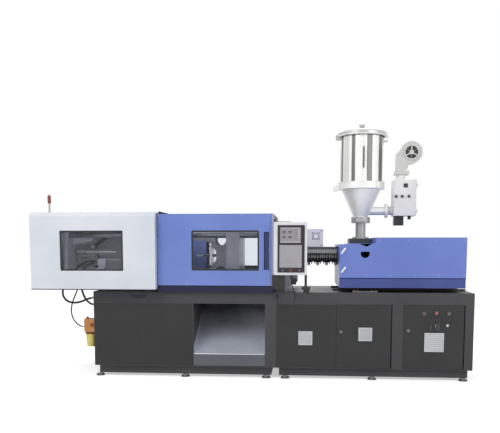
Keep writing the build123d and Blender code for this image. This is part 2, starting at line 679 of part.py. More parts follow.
def platen_outline(half):
    """Square platen with rounded corners and the four tie-bar holes."""
    with Locations((0, AXIS_Z)):
        RectangleRounded(2 * half, 2 * half, PLATEN_CORNER)
    for y in (-TIE_HALF, TIE_HALF):
        for z in (-TIE_HALF, TIE_HALF):
            disc((y, AXIS_Z + z), TIE_RADIUS + FIT, mode=Mode.SUBTRACT)


# Tail platen: plate with pockets, with tall outer ears and short inner ears keyed to its face for the tail pins
PORT_LOW = PORT_HEIGHTS[1] - 22
PORT_TOP = PORT_HEIGHTS[0] + 23
PORT_BLOCK = 85.0
with BuildPart() as tail_platen:
    with BuildSketch(end_plane(TAIL_BACK)):
        platen_outline(PLATEN_HALF)
        disc((0, AXIS_Z), CYLINDER_RADIUS + FIT, mode=Mode.SUBTRACT)
    extrude(amount=TAIL_THICK)
    for side in (-1, 1):
        near, far = sorted((side * 185, side * (PLATEN_HALF + 1)))
        block(TAIL_BACK + 40, TAIL_FRONT - 40, near, far, AXIS_Z - 150, AXIS_Z + 150, mode=Mode.SUBTRACT)
        low_z, high_z = sorted((AXIS_Z + side * 210, AXIS_Z + side * (PLATEN_HALF + 1)))
        block(TAIL_BACK + 40, TAIL_FRONT - 40, -150, 150, low_z, high_z, mode=Mode.SUBTRACT)
    for up in (-1, 1):
        tail = toggle_points(up)[0]
        for side in (-1, 1):
            outer = side * (BLADE_OUT + SIDE_GAP)
            inner = side * (BLADE_IN - SIDE_GAP)
            for start, end, reach in ((outer, outer + side * EAR_THICK, 1), (inner, inner - side * EAR_THICK, 0)):
                with BuildSketch(side_plane(max(start, end))):
                    disc(tail, EYE_RADIUS + 2)
                    low_z = tail[1] - up * (EYE_RADIUS + 2 + 150 * reach)
                    high_z = tail[1] + up * (EYE_RADIUS + 2)
                    Polygon(
                        (TAIL_FRONT + SEAT, high_z - up * 20), (tail[0], high_z), (tail[0] + 20, tail[1] - up * 42),
                        (tail[0] - 60, low_z + up * 40 * reach), (TAIL_FRONT + SEAT, low_z), align=None,
                    )
                    disc(tail, MAIN_PIN + FIT, mode=Mode.SUBTRACT)
                extrude(amount=EAR_THICK)
            pin_in = inner - side * EAR_THICK
            pin_out = outer + side * (EAR_THICK + 8)
            bar_between((tail[0], pin_in, tail[1]), (tail[0], pin_out, tail[1]), MAIN_PIN)
    # Hose block on a strut from the lower front ear, and the port of the lubricator's hose
    ear_face = -(BLADE_OUT + SIDE_GAP + EAR_THICK + SEAT)
    eye_top = AXIS_Z - PIVOT_HALF + EYE_RADIUS
    with BuildSketch(side_plane(ear_face)):
        Polygon(
            (TAIL_PIVOT_X - 90, eye_top + 10), (PORT_X, PORT_LOW), (PORT_X, PORT_TOP), (PORT_X + PORT_BLOCK, PORT_TOP),
            (PORT_X + PORT_BLOCK, PORT_LOW), (TAIL_PIVOT_X - 15, eye_top), align=None,
        )
    extrude(amount=12)
    block(PORT_X, PORT_X + PORT_BLOCK, PORT_Y - 18, ear_face - 11, PORT_LOW, PORT_TOP)
    lub_y, lub_z = LUB_PORT
    bar_between((TAIL_FRONT + SEAT, lub_y, lub_z), (TAIL_FRONT + 16, lub_y, lub_z), LUB_HOSE_RADIUS + 5)
pieces["tail_platen"] = tail_platen

# Fixed platen: locating bore towards the mould, nozzle cone at its back, mould bolt holes, feet
with BuildPart() as fixed_platen:
    with BuildSketch(end_plane(FIXED_FRONT)):
        platen_outline(PLATEN_HALF + 30)
        disc((0, AXIS_Z), LOCATING_RADIUS, mode=Mode.SUBTRACT)
    extrude(amount=FIXED_THICK)
    with Locations(Plane(origin=(FIXED_FRONT + 40, 0, AXIS_Z), z_dir=(1, 0, 0))):
        Cone(
            LOCATING_RADIUS - 5, NOZZLE_CONE_RADIUS, FIXED_THICK - 40 + 0.1,
            align=(Align.CENTER, Align.CENTER, Align.MIN), mode=Mode.SUBTRACT,
        )
    for y in (-MOULD_BOLT_X / 2, MOULD_BOLT_X / 2):
        for z in (-MOULD_BOLT_Z / 2, MOULD_BOLT_Z / 2):
            bar_between(
                (FIXED_FRONT - 1, y, AXIS_Z + z), (FIXED_FRONT + MOULD_BOLT_DEPTH, y, AXIS_Z + z),
                MOULD_BOLT_RADIUS, mode=Mode.SUBTRACT,
            )
    for side in (-1, 1):
        near, far = sorted((side * (RAIL_OUTER + 20), side * (PLATEN_HALF + 90)))
        block(FIXED_FRONT + 10, FIXED_BACK - 10, near, far, BASE_TOP, BASE_TOP + 60)
    # Tapped holes for a take-out arm, on the top edge
    for x in (-ROBOT_BOLT_X / 2, ROBOT_BOLT_X / 2):
        for y in (-ROBOT_BOLT_Y / 2, ROBOT_BOLT_Y / 2):
            top = AXIS_Z + PLATEN_HALF + 30
            middle = (FIXED_FRONT + FIXED_BACK) / 2
            bar_between((middle + x, y, top - 30), (middle + x, y, top + 1), ROBOT_BOLT_RADIUS, mode=Mode.SUBTRACT)
pieces["fixed_platen"] = fixed_platen

# Tie bars with their nuts
with BuildPart() as tie_bars:
    for y in (-TIE_HALF, TIE_HALF):
        for z in (AXIS_Z - TIE_HALF, AXIS_Z + TIE_HALF):
            bar_between((TIE_LEFT, y, z), (TIE_RIGHT, y, z), TIE_RADIUS)
    for x in (TAIL_BACK - NUT_LENGTH, FIXED_BACK):
        with BuildSketch(end_plane(x)):
            for y in (-TIE_HALF, TIE_HALF):
                for z in (AXIS_Z - TIE_HALF, AXIS_Z + TIE_HALF):
                    with Locations((y, z)):
                        RegularPolygon(NUT_RADIUS, 8, major_radius=False)
                    disc((y, z), TIE_RADIUS + FIT, mode=Mode.SUBTRACT)
        extrude(amount=NUT_LENGTH)
pieces["tie_bars"] = tie_bars

# Clamp cylinder through the tail platen, with the crosshead's two guide rods
GUIDE_COLLAR = 20.0
GUIDES = ((-GUIDE_Y, AXIS_Z + GUIDE_Z), (GUIDE_Y, AXIS_Z - GUIDE_Z))
with BuildPart() as clamp_cylinder:
    bar_between((CYLINDER_BACK, 0, AXIS_Z), (TAIL_FRONT + 12, 0, AXIS_Z), CYLINDER_RADIUS)
    with BuildSketch(end_plane(CYLINDER_BACK)):
        with Locations((0, AXIS_Z)):
            RectangleRounded(190, 190, 20)
    extrude(amount=30)
    with BuildSketch(end_plane(TAIL_BACK - 24)):
        with Locations((0, AXIS_Z)):
            Circle(115)
    extrude(amount=24)
    bar_between((CYLINDER_BACK + 40, 0, AXIS_Z), (TAIL_FRONT + 13, 0, AXIS_Z), PISTON_RADIUS + FIT, mode=Mode.SUBTRACT)
    for y, z in GUIDES:
        bar_between((TAIL_FRONT, y, z), (GUIDE_END, y, z), GUIDE_RADIUS)
        bar_between((TAIL_FRONT, y, z), (TAIL_FRONT + 14, y, z), GUIDE_COLLAR)
pieces["clamp_cylinder"] = clamp_cylinder

# Crosshead on the guide rods, with its fork ears, pins and the piston rod
with BuildPart() as crosshead:
    with BuildSketch(side_plane(CROSS_LINK_HALF - SIDE_GAP * 2 + 3)):
        rectangle(CROSS_X - 42, CROSS_X + 42, AXIS_Z - 62, AXIS_Z + 62)
    extrude(amount=2 * (CROSS_LINK_HALF - SIDE_GAP * 2 + 3))
    for side in (-1, 1):
        low = CROSS_LINK_HALF + SIDE_GAP
        near, far = sorted((side * low, side * (low + 22)))
        with BuildSketch(side_plane(far)):
            for up in (-1, 1):
                disc((CROSS_X, AXIS_Z + up * CROSS_HALF_HEIGHT), CROSS_EYE)
            strap((CROSS_X, AXIS_Z - CROSS_HALF_HEIGHT), (CROSS_X, AXIS_Z + CROSS_HALF_HEIGHT), CROSS_EYE)
        extrude(amount=22)
    for y, z in GUIDES:
        bar_between((CROSS_X - 45, y, z), (CROSS_X + 45, y, z), GUIDE_RADIUS + 13)
        near, far = sorted((0, y))
        block(CROSS_X - 30, CROSS_X + 30, near, far, z - 22, z + 22)
        bar_between((CROSS_X - 46, y, z), (CROSS_X + 46, y, z), GUIDE_RADIUS + FIT, mode=Mode.SUBTRACT)
    for up in (-1, 1):
        z = AXIS_Z + up * CROSS_HALF_HEIGHT
        reach = CROSS_LINK_HALF + SIDE_GAP + 26
        bar_between((CROSS_X, -reach, z), (CROSS_X, reach, z), CROSS_PIN)
    bar_between((CROSS_X - 40, 0, AXIS_Z), (CYLINDER_BACK + 130, 0, AXIS_Z), PISTON_RADIUS)
pieces["crosshead"] = crosshead


def rear_links(up):
    """Two blades from the tail pins, with the knee pins and the lug pin that the crosshead link pulls."""
    tail, knee, head, lug, cross, tip = toggle_points(up)
    with BuildPart() as links:
        for side in (-1, 1):
            with BuildSketch(side_plane(side * BLADE_Y + BLADE_THICK / 2)):
                disc(tail, EYE_RADIUS)
                disc(knee, EYE_RADIUS)
                disc(lug, LUG_RADIUS)
                strap(tail, knee, LINK_WAIST)
                strap(tail, lug, LUG_RADIUS - 4)
                strap(lug, knee, LUG_RADIUS - 6)
                disc(tail, MAIN_PIN + FIT, mode=Mode.SUBTRACT)
            extrude(amount=BLADE_THICK)
            near = side * (BLADE_IN - SIDE_GAP - FORK_THICK - 6)
            far = side * (BLADE_OUT + SIDE_GAP + FORK_THICK + 6)
            bar_between((knee[0], near, knee[1]), (knee[0], far, knee[1]), MAIN_PIN)
        bar_between((lug[0], -BLADE_Y, lug[1]), (lug[0], BLADE_Y, lug[1]), LUG_PIN)
    return links


def front_links(up):
    """Two forked links from the knee pins to the pins of the moving platen."""
    tail, knee, head, lug, cross, tip = toggle_points(up)
    with BuildPart() as links:
        for side in (-1, 1):
            faces = (side * (BLADE_OUT + SIDE_GAP), side * (BLADE_IN - SIDE_GAP - FORK_THICK))
            for start in faces:
                with BuildSketch(side_plane(max(start, start + side * FORK_THICK))):
                    disc(knee, EYE_RADIUS)
                    disc(head, EYE_RADIUS)
                    strap(knee, head, LINK_WAIST)
                    disc(knee, MAIN_PIN + FIT, mode=Mode.SUBTRACT)
                    disc(head, MAIN_PIN + FIT, mode=Mode.SUBTRACT)
                extrude(amount=FORK_THICK)
            # Web between the two plates, clear of both eyes
            reach = 130
            with BuildSketch(side_plane(side * BLADE_Y + BLADE_THICK / 2 + SIDE_GAP + 1)):
                strap(polar(knee, reach, up * LINK_ANGLE), polar(head, -reach, up * LINK_ANGLE), LINK_WAIST - 6)
            extrude(amount=BLADE_THICK + 2 * SIDE_GAP + 2)
    return links


def crosshead_link(up):
    """Single link from the crosshead; its eye at the lug pin is wide, the open pivot of the chain."""
    tail, knee, head, lug, cross, tip = toggle_points(up)
    with BuildPart() as link:
        with BuildSketch(side_plane(CROSS_LINK_HALF)):
            disc(cross, CROSS_EYE)
            disc(tip, CROSS_EYE + 4)
            strap(cross, tip, 19)
            disc(cross, CROSS_PIN + FIT, mode=Mode.SUBTRACT)
            disc(tip, LUG_PIN + LUG_CLEARANCE, mode=Mode.SUBTRACT)
        extrude(amount=2 * CROSS_LINK_HALF)
    return link


pieces["rear_links_upper"] = rear_links(1)
pieces["rear_links_lower"] = rear_links(-1)
pieces["front_links_upper"] = front_links(1)
pieces["front_links_lower"] = front_links(-1)
pieces["crosshead_link_upper"] = crosshead_link(1)
pieces["crosshead_link_lower"] = crosshead_link(-1)

# Moving platen: front plate, two arched side ribs that end in the ears, cross webs and sliding shoes
HEAD_UP = toggle_points(1)[2]
HEAD_DOWN = toggle_points(-1)[2]
RIB_ROOT = 300.0
with BuildPart() as moving_platen:
    with BuildSketch(end_plane(MOVING_BACK)):
        platen_outline(PLATEN_HALF)
        disc((0, AXIS_Z), 30, mode=Mode.SUBTRACT)
        for z in (-EJECTOR_SPACING, EJECTOR_SPACING):
            disc((0, AXIS_Z + z), EJECTOR_HOLE_RADIUS, mode=Mode.SUBTRACT)
    extrude(amount=MOVING_THICK)
    block(
        MOVING_BACK - 1, MOVING_FRONT + 1, -PLATEN_HALF - 1, PLATEN_HALF + 1,
        RAIL_TOP - 10, RAIL_TOP + 10, mode=Mode.SUBTRACT,
    )
    for y in (-MOULD_BOLT_X / 2, MOULD_BOLT_X / 2):
        for z in (-MOULD_BOLT_Z / 2, MOULD_BOLT_Z / 2):
            bar_between(
                (MOVING_FRONT + 1, y, AXIS_Z + z), (MOVING_FRONT - MOULD_BOLT_DEPTH, y, AXIS_Z + z),
                MOULD_BOLT_RADIUS, mode=Mode.SUBTRACT,
            )
    for side in (-1, 1):
        with BuildSketch(side_plane(side * BLADE_Y + BLADE_THICK / 2)):
            rectangle(MOVING_BACK - RIB_ROOT, MOVING_BACK + 1, AXIS_Z - PLATEN_HALF + 24, AXIS_Z + PLATEN_HALF - 24)
            for pivot, up in ((HEAD_UP, 1), (HEAD_DOWN, -1)):
                disc(pivot, EYE_RADIUS)
                Polygon(
                    (pivot[0], pivot[1] + up * EYE_RADIUS * 0.45), (MOVING_BACK - 40, AXIS_Z + up * (PLATEN_HALF - 24)),
                    (MOVING_BACK - RIB_ROOT, AXIS_Z + up * 150), (pivot[0], pivot[1] - up * EYE_RADIUS), align=None,
                )
            # Arched opening from the rear, and a round hole above and below the axis
            disc((MOVING_BACK - RIB_ROOT, AXIS_Z), 165, mode=Mode.SUBTRACT)
            for up in (-1, 1):
                disc((MOVING_BACK - 88, AXIS_Z + up * 175), 62, mode=Mode.SUBTRACT)
        extrude(amount=BLADE_THICK)
        for pivot in (HEAD_UP, HEAD_DOWN):
            near = side * (BLADE_IN - SIDE_GAP - FORK_THICK - 6)
            far = side * (BLADE_OUT + SIDE_GAP + FORK_THICK + 6)
            bar_between((pivot[0], near, pivot[1]), (pivot[0], far, pivot[1]), MAIN_PIN)
        # Sliding shoe on the bed rail
        middle = side * (RAIL_INNER + RAIL_OUTER) / 2
        block(
            MOVING_BACK - 60, MOVING_FRONT - 20, middle - 26, middle + 26, RAIL_TOP + GAP, AXIS_Z - PLATEN_HALF + 30,
        )
    for up in (-1, 1):
        low_z, high_z = sorted((AXIS_Z + up * 262, AXIS_Z + up * 290))
        block(HEAD_PIVOT_X + 130, MOVING_BACK + 1, -BLADE_IN - 1, BLADE_IN + 1, low_z, high_z)
pieces["moving_platen"] = moving_platen

# Ejector: cylinder on the back of the moving platen with two guide rods, and the plate that it pushes
EJECTOR_BACK = -860.0
EJECTOR_GUIDE_Y = 62.0
EJECTOR_PLATE_X = -790.0
with BuildPart() as ejector_cylinder:
    bar_between((MOVING_BACK, 0, AXIS_Z), (MOVING_BACK - 24, 0, AXIS_Z), 80)
    bar_between((MOVING_BACK - 23, 0, AXIS_Z), (MOVING_BACK - 80, 0, AXIS_Z), 50)
    for y in (-EJECTOR_GUIDE_Y, EJECTOR_GUIDE_Y):
        bar_between((MOVING_BACK - 20, y, AXIS_Z), (EJECTOR_BACK, y, AXIS_Z), 11)
        bar_between((EJECTOR_BACK, y, AXIS_Z), (EJECTOR_BACK + 12, y, AXIS_Z), 18)
    bar_between((MOVING_BACK - 81, 0, AXIS_Z), (MOVING_BACK + 1, 0, AXIS_Z), 17 + FIT, mode=Mode.SUBTRACT)
    for z in (-EJECTOR_SPACING, EJECTOR_SPACING):
        bar_between(
            (MOVING_BACK + 1, 0, AXIS_Z + z), (MOVING_BACK - 30, 0, AXIS_Z + z), EJECTOR_HOLE_RADIUS, mode=Mode.SUBTRACT,
        )
pieces["ejector_cylinder"] = ejector_cylinder

with BuildPart() as ejector_plate:
    with BuildSketch(end_plane(EJECTOR_PLATE_X)):
        with Locations((0, AXIS_Z)):
            RectangleRounded(2 * EJECTOR_GUIDE_Y + 56, 2 * EJECTOR_SPACING + 50, 18)
        for y in (-EJECTOR_GUIDE_Y, EJECTOR_GUIDE_Y):
            disc((y, AXIS_Z), 11 + FIT, mode=Mode.SUBTRACT)
    extrude(amount=26)
    bar_between((-950, 0, AXIS_Z), (MOVING_BACK - 60, 0, AXIS_Z), 17)
    for z in (-EJECTOR_SPACING, EJECTOR_SPACING):
        bar_between((EJECTOR_PLATE_X + 20, 0, AXIS_Z + z), (MOVING_FRONT - 12, 0, AXIS_Z + z), EJECTOR_HOLE_RADIUS - 1)
pieces["ejector_plate"] = ejector_plate

# Control panel: hollow housing with rounded edges, black fascia, keypad and emergency stop
with BuildPart() as panel_housing:
    with BuildSketch(side_plane(-PANEL_BACK)):
        with Locations(((PANEL_X0 + PANEL_X1) / 2, (PANEL_Z0 + PANEL_Z1) / 2)):
            RectangleRounded(PANEL_X1 - PANEL_X0, PANEL_Z1 - PANEL_Z0, 14)
    extrude(amount=PANEL_FACE - PANEL_BACK)
    front_edges = panel_housing.faces().sort_by(Axis.Y)[0].edges()
    fillet(front_edges, 8)
    block(
        PANEL_X0 + 4, PANEL_X1 - 4, -PANEL_FACE + 4, -PANEL_BACK - 4, PANEL_Z0 + 4, PANEL_Z1 - 4, mode=Mode.SUBTRACT,
    )
pieces["panel_housing"] = panel_housing

FASCIA = (-19.0, 254.0, 1115.0, 1592.0)
SCREEN = (6.0, 216.0, 1413.0, 1570.0)
KEYPAD = (1.0, 225.0, 1165.0, 1392.0)
STOP_X = 118.0
STOP_Z = 1138.0
with BuildPart() as panel_fascia:
    with BuildSketch(side_plane(-PANEL_FACE)):
        with Locations(((FASCIA[0] + FASCIA[1]) / 2, (FASCIA[2] + FASCIA[3]) / 2)):
            RectangleRounded(FASCIA[1] - FASCIA[0], FASCIA[3] - FASCIA[2], 6)
    extrude(amount=FASCIA_DEPTH)
    block(*SCREEN[:2], -PANEL_FACE - FASCIA_DEPTH - 1, -PANEL_FACE - 2, *SCREEN[2:], mode=Mode.SUBTRACT)
    face = -PANEL_FACE - FASCIA_DEPTH
    bar_between((STOP_X, face + 1, STOP_Z), (STOP_X, face - 6, STOP_Z), 13)
    bar_between((STOP_X, face - 7, STOP_Z), (STOP_X, -PANEL_FACE - 1, STOP_Z), 8 + FIT, mode=Mode.SUBTRACT)
pieces["panel_fascia"] = panel_fascia

KEY_COLUMNS = 9
KEY_ROWS = 7
with BuildPart() as panel_keypad:
    face = -PANEL_FACE - FASCIA_DEPTH
    block(*KEYPAD[:2], face - 2, face, *KEYPAD[2:])
    pitch_x = (KEYPAD[1] - KEYPAD[0]) / KEY_COLUMNS
    pitch_z = (KEYPAD[3] - KEYPAD[2]) / KEY_ROWS
    for column in range(KEY_COLUMNS):
        for row in range(KEY_ROWS):
            x = KEYPAD[0] + (column + 0.5) * pitch_x
            z = KEYPAD[2] + (row + 0.5) * pitch_z
            block(x - 8.5, x + 8.5, face - 4.5, face - 1.9, z - 11, z + 11)
pieces["panel_keypad"] = panel_keypad

with BuildPart() as emergency_stop:
    face = -PANEL_FACE - FASCIA_DEPTH
    bar_between((STOP_X, face - 2, STOP_Z), (STOP_X, face - 14, STOP_Z), 8)
    with Locations(Plane(origin=(STOP_X, face - 13, STOP_Z), z_dir=(0, -1, 0))):
        Cone(18, 14, 14, align=(Align.CENTER, Align.CENTER, Align.MIN))
pieces["emergency_stop"] = emergency_stop

# Nozzle guard: folded hood on two bars from the fixed platen, hinged along its rear edge
GUARD_X0 = 190.0
GUARD_X1 = 455.0
GUARD_Z0 = 1373.0
GUARD_Z1 = 1565.0
GUARD_HALF = 150.0
GUARD_PIVOT_Y = GUARD_HALF + 8
GUARD_PIVOT_Z = GUARD_Z0 + 9
with BuildPart() as guard_bars:
    for y in (-GUARD_HALF, GUARD_HALF):
        block(FIXED_BACK, 600, y - 14, y + 14, 1344, GUARD_Z0 - GAP)
    for x in (GUARD_X0 + 40, GUARD_X1 - 60):
        bar_between((x - 14, GUARD_PIVOT_Y, GUARD_PIVOT_Z), (x + 34, GUARD_PIVOT_Y, GUARD_PIVOT_Z), 4)
        for start in (x - 16, x + 24.5):
            bar_between((start, GUARD_PIVOT_Y, GUARD_PIVOT_Z), (start + 11, GUARD_PIVOT_Y, GUARD_PIVOT_Z), 8)
            block(start, start + 11, GUARD_PIVOT_Y - 4, GUARD_PIVOT_Y + 6, 1360, GUARD_PIVOT_Z - 4)
pieces["guard_bars"] = guard_bars

with BuildPart() as purge_guard:
    block(GUARD_X0, GUARD_X1, -GUARD_HALF, GUARD_HALF, GUARD_Z0, GUARD_Z1)
    block(
        GUARD_X0 - 1, GUARD_X1 - SHEET, -GUARD_HALF + SHEET, GUARD_HALF - SHEET, GUARD_Z0 - 1, GUARD_Z1 - SHEET,
        mode=Mode.SUBTRACT,
    )
    # The barrel passes under the hood's end wall
    block(GUARD_X1 - SHEET - 1, GUARD_X1 + 1, -95, 95, GUARD_Z0 - 1, GUARD_Z0 + 12, mode=Mode.SUBTRACT)
    bar_between((375, -GUARD_HALF - 6, 1490), (375, -GUARD_HALF + 1, 1490), 36)
    bar_between((375, -GUARD_HALF - 7, 1490), (375, -GUARD_HALF + SHEET + 1, 1490), 26, mode=Mode.SUBTRACT)
    for x in (GUARD_X0 + 40, GUARD_X1 - 60):
        bar_between((x - 4.5, GUARD_PIVOT_Y, GUARD_PIVOT_Z), (x + 24, GUARD_PIVOT_Y, GUARD_PIVOT_Z), 8)
        block(x - 4.5, x + 24, GUARD_HALF - 1, GUARD_PIVOT_Y, GUARD_PIVOT_Z - 2, GUARD_PIVOT_Z + 4)
        bar_between((x - 5, GUARD_PIVOT_Y, GUARD_PIVOT_Z), (x + 25, GUARD_PIVOT_Y, GUARD_PIVOT_Z), 4 + FIT, mode=Mode.SUBTRACT)
pieces["purge_guard"] = purge_guard

# Barrel with its nozzle, turned in one profile and bored for the screw
BARREL_BACK = 940.0
with BuildPart() as barrel:
    with BuildSketch(Plane.XZ):
        with BuildLine():
            Polyline(
                (NOZZLE_TIP, AXIS_Z), (NOZZLE_TIP, AXIS_Z + 9), (NOZZLE_TIP + 14, AXIS_Z + 21), (40, AXIS_Z + 21),
                (46, AXIS_Z + 34), (78, AXIS_Z + 34), (BARREL_LEFT, AXIS_Z + 46), (BARREL_LEFT, AXIS_Z + BARREL_RADIUS),
                (BARREL_BACK, AXIS_Z + BARREL_RADIUS), (BARREL_BACK, AXIS_Z), close=True,
            )
        make_face()
    revolve(axis=Axis((0, 0, AXIS_Z), (1, 0, 0)))
    bar_between((BARREL_LEFT - 10, 0, AXIS_Z), (BARREL_BACK + 1, 0, AXIS_Z), BORE_RADIUS, mode=Mode.SUBTRACT)
    bar_between((NOZZLE_TIP - 1, 0, AXIS_Z), (BARREL_LEFT - 9, 0, AXIS_Z), 4, mode=Mode.SUBTRACT)
    bar_between((HOPPER_X, 0, AXIS_Z), (HOPPER_X, 0, AXIS_Z + BARREL_RADIUS + 1), BORE_RADIUS - 4, mode=Mode.SUBTRACT)
pieces["barrel"] = barrel

with BuildPart() as heater_bands:
    for index in range(5):
        x = BAND_FIRST + index * BAND_PITCH
        bar_between((x - BAND_WIDTH / 2, 0, AXIS_Z), (x + BAND_WIDTH / 2, 0, AXIS_Z), BAND_RADIUS)
        block(x - 15, x + 15, -14, 14, AXIS_Z - BAND_RADIUS - 24, AXIS_Z - BAND_RADIUS + 4)
    bar_between((0, 0, AXIS_Z), (BARREL_BACK, 0, AXIS_Z), BARREL_RADIUS + FIT, mode=Mode.SUBTRACT)
pieces["heater_bands"] = heater_bands

# Screw: core, tip and drive shank
SCREW_TIP = 110.0
SCREW_START = 150.0
with BuildPart() as screw:
    bar_between((SCREW_START - 4, 0, AXIS_Z), (BARREL_BACK - 30, 0, AXIS_Z), SCREW_CORE)
    bar_between((BARREL_BACK - 60, 0, AXIS_Z), (PUSHER_X + SHANK_DEPTH, 0, AXIS_Z), SCREW_RADIUS)
    with Locations(Plane(origin=(SCREW_START, 0, AXIS_Z), z_dir=(-1, 0, 0))):
        Cone(SCREW_RADIUS - 3, 4, SCREW_START - SCREW_TIP, align=(Align.CENTER, Align.CENTER, Align.MIN))
pieces["screw"] = screw

# Carriage: bed plate on shoes, feed casting on two legs, back plate and the two stay rods
CARRIAGE_FOOT = BED_LOW + BED_THICK + SEAT
BACK_PLATE_THICK = 45.0
with BuildPart() as carriage:
    block(INJ_LEFT + 26, INJ_RIGHT - 24, -BED_HALF, BED_HALF, BED_LOW, BED_LOW + BED_THICK)
    for side in (-1, 1):
        middle = side * BED_RAIL_Y
        for x in (INJ_LEFT + 86, BACK_PLATE_X + 20):
            block(x, x + 160, middle - 32, middle + 32, BASE_TOP + BED_RAIL_HEIGHT + GAP, BED_LOW - SEAT)
    for x in (FEED_LEFT, FEED_RIGHT - 40):
        block(x, x + 40, -FEED_HALF, FEED_HALF, CARRIAGE_FOOT, AXIS_Z - 110 - SEAT)
    block(FEED_LEFT, FEED_RIGHT, -FEED_HALF, FEED_HALF, AXIS_Z - 110, FEED_TOP)
    for y in (-STAY_Y, STAY_Y):
        bar_between((FEED_RIGHT - 60, y, AXIS_Z), (FEED_RIGHT, y, AXIS_Z), STAY_RADIUS + 22)
    bar_between((FEED_LEFT - 1, 0, AXIS_Z), (BARREL_BACK, 0, AXIS_Z), BARREL_RADIUS + FIT, mode=Mode.SUBTRACT)
    bar_between((BARREL_BACK - 1, 0, AXIS_Z), (FEED_RIGHT + 1, 0, AXIS_Z), SCREW_RADIUS + 2, mode=Mode.SUBTRACT)
    bar_between(
        (HOPPER_X, 0, AXIS_Z + BARREL_RADIUS - 2), (HOPPER_X, 0, FEED_TOP + 1), FEED_BORE, mode=Mode.SUBTRACT,
    )
    with BuildSketch(end_plane(BACK_PLATE_X)):
        rectangle(-STAY_Y - 50, STAY_Y + 50, CARRIAGE_FOOT, AXIS_Z + 100)
        disc((0, AXIS_Z), 105, mode=Mode.SUBTRACT)
        for y in (-STAY_Y, STAY_Y):
            disc((y, AXIS_Z), STAY_RADIUS + FIT, mode=Mode.SUBTRACT)
    extrude(amount=BACK_PLATE_THICK)
    for y in (-STAY_Y, STAY_Y):
        bar_between((FEED_RIGHT + SEAT, y, AXIS_Z), (BACK_PLATE_X + 60, y, AXIS_Z), STAY_RADIUS)
pieces["carriage"] = carriage

# Injection drive: pusher plate on the stay rods with the hydraulic motor behind it
with BuildPart() as injection_drive:
    with BuildSketch(end_plane(PUSHER_X)):
        with Locations((0, AXIS_Z)):
            RectangleRounded(2 * STAY_Y + 110, 200, 30)
        for y in (-STAY_Y, STAY_Y):
            disc((y, AXIS_Z), STAY_RADIUS + FIT, mode=Mode.SUBTRACT)
    extrude(amount=PUSHER_THICK)
    bar_between((PUSHER_X + PUSHER_THICK - 1, 0, AXIS_Z), (PUSHER_X + PUSHER_THICK + 70, 0, AXIS_Z), 92)
    bar_between((PUSHER_X + PUSHER_THICK + 69, 0, AXIS_Z), (PUSHER_X + PUSHER_THICK + 180, 0, AXIS_Z), 78)
    bar_between((PUSHER_X - 1, 0, AXIS_Z), (PUSHER_X + SHANK_DEPTH + GAP, 0, AXIS_Z), SCREW_RADIUS + FIT, mode=Mode.SUBTRACT)
pieces["injection_drive"] = injection_drive


def injection_body(inset):
    """Outer form of the injection cover, or its inside when inset by the sheet."""
    half = INJ_HALF - inset
    skirt = half - SKIRT_SETBACK
    top = INJ_TOP - inset
    low = INJ_LOW - (1 if inset else 0)
    with BuildPart() as body:
        with BuildSketch(end_plane(INJ_LEFT + inset)):
            Polygon(
                (-skirt, low), (-skirt, SKIRT_TOP - SKIRT_SETBACK), (-half, SKIRT_TOP), (-half, top - 10),
                (-half + 10, top), (half - 10, top), (half, top - 10), (half, SKIRT_TOP),
                (skirt, SKIRT_TOP - SKIRT_SETBACK), (skirt, low), align=None,
            )
        extrude(amount=INJ_RIGHT - INJ_LEFT - 2 * inset)
        block(
            INJ_LEFT - 1, INJ_STEP_X + inset, -INJ_HALF - 1, INJ_HALF + 1, INJ_STEP_TOP - inset, INJ_TOP + 1,
            mode=Mode.SUBTRACT,
        )
        block(
            INJ_STEP_X - inset, NOTCH_RIGHT + inset, -INJ_HALF - 1, INJ_HALF + 1, NOTCH_TOP - inset, INJ_TOP + 1,
            mode=Mode.SUBTRACT,
        )
    return body


outer_body = injection_body(0)
inner_body = injection_body(SHEET)
with BuildPart() as injection_cover:
    add(outer_body.part)
    add(inner_body.part, mode=Mode.SUBTRACT)
    block(
        FEED_LEFT - 3, FEED_RIGHT + 3, -FEED_HALF - 3, FEED_HALF + 3, NOTCH_TOP - 20, NOTCH_TOP + 20, mode=Mode.SUBTRACT,
    )
    bar_between((INJ_LEFT - 1, 0, AXIS_Z), (INJ_LEFT + SHEET + 1, 0, AXIS_Z), 100, mode=Mode.SUBTRACT)
    block(INJ_LEFT - 1, INJ_LEFT + SHEET + 1, -GUARD_HALF - 18, GUARD_HALF + 18, 1338, 1378, mode=Mode.SUBTRACT)
    with BuildSketch(side_plane(-INJ_HALF + SHEET + 1)):
        Polygon((800, NOTCH_TOP + 2), (955, NOTCH_TOP + 2), (884, 1374), align=None)
        disc((872, 1306), 46)
        rectangle(820, 924, 1325, 1360, mode=Mode.SUBTRACT)
    extrude(amount=SHEET + 2, mode=Mode.SUBTRACT)
pieces["injection_cover"] = injection_cover

# Hopper: neck, gate flanges, cone and drum, spun in one profile, with the air inlet pipe
HOPPER_WALL = 3.0
NECK_FLANGE = 16.0
GATE_SLOT_Z = 1655.0
GATE_SLOT = 8.0
LID_Z = DRUM_TOP + GAP
LID_PIVOT = (HOPPER_X - LID_RADIUS - 10, LID_Z + 14)


def hopper_profile(points):
    """Closed half profile of the hopper from radius and height pairs."""
    Polygon(*[(HOPPER_X + radius, height) for radius, height in points], align=None)


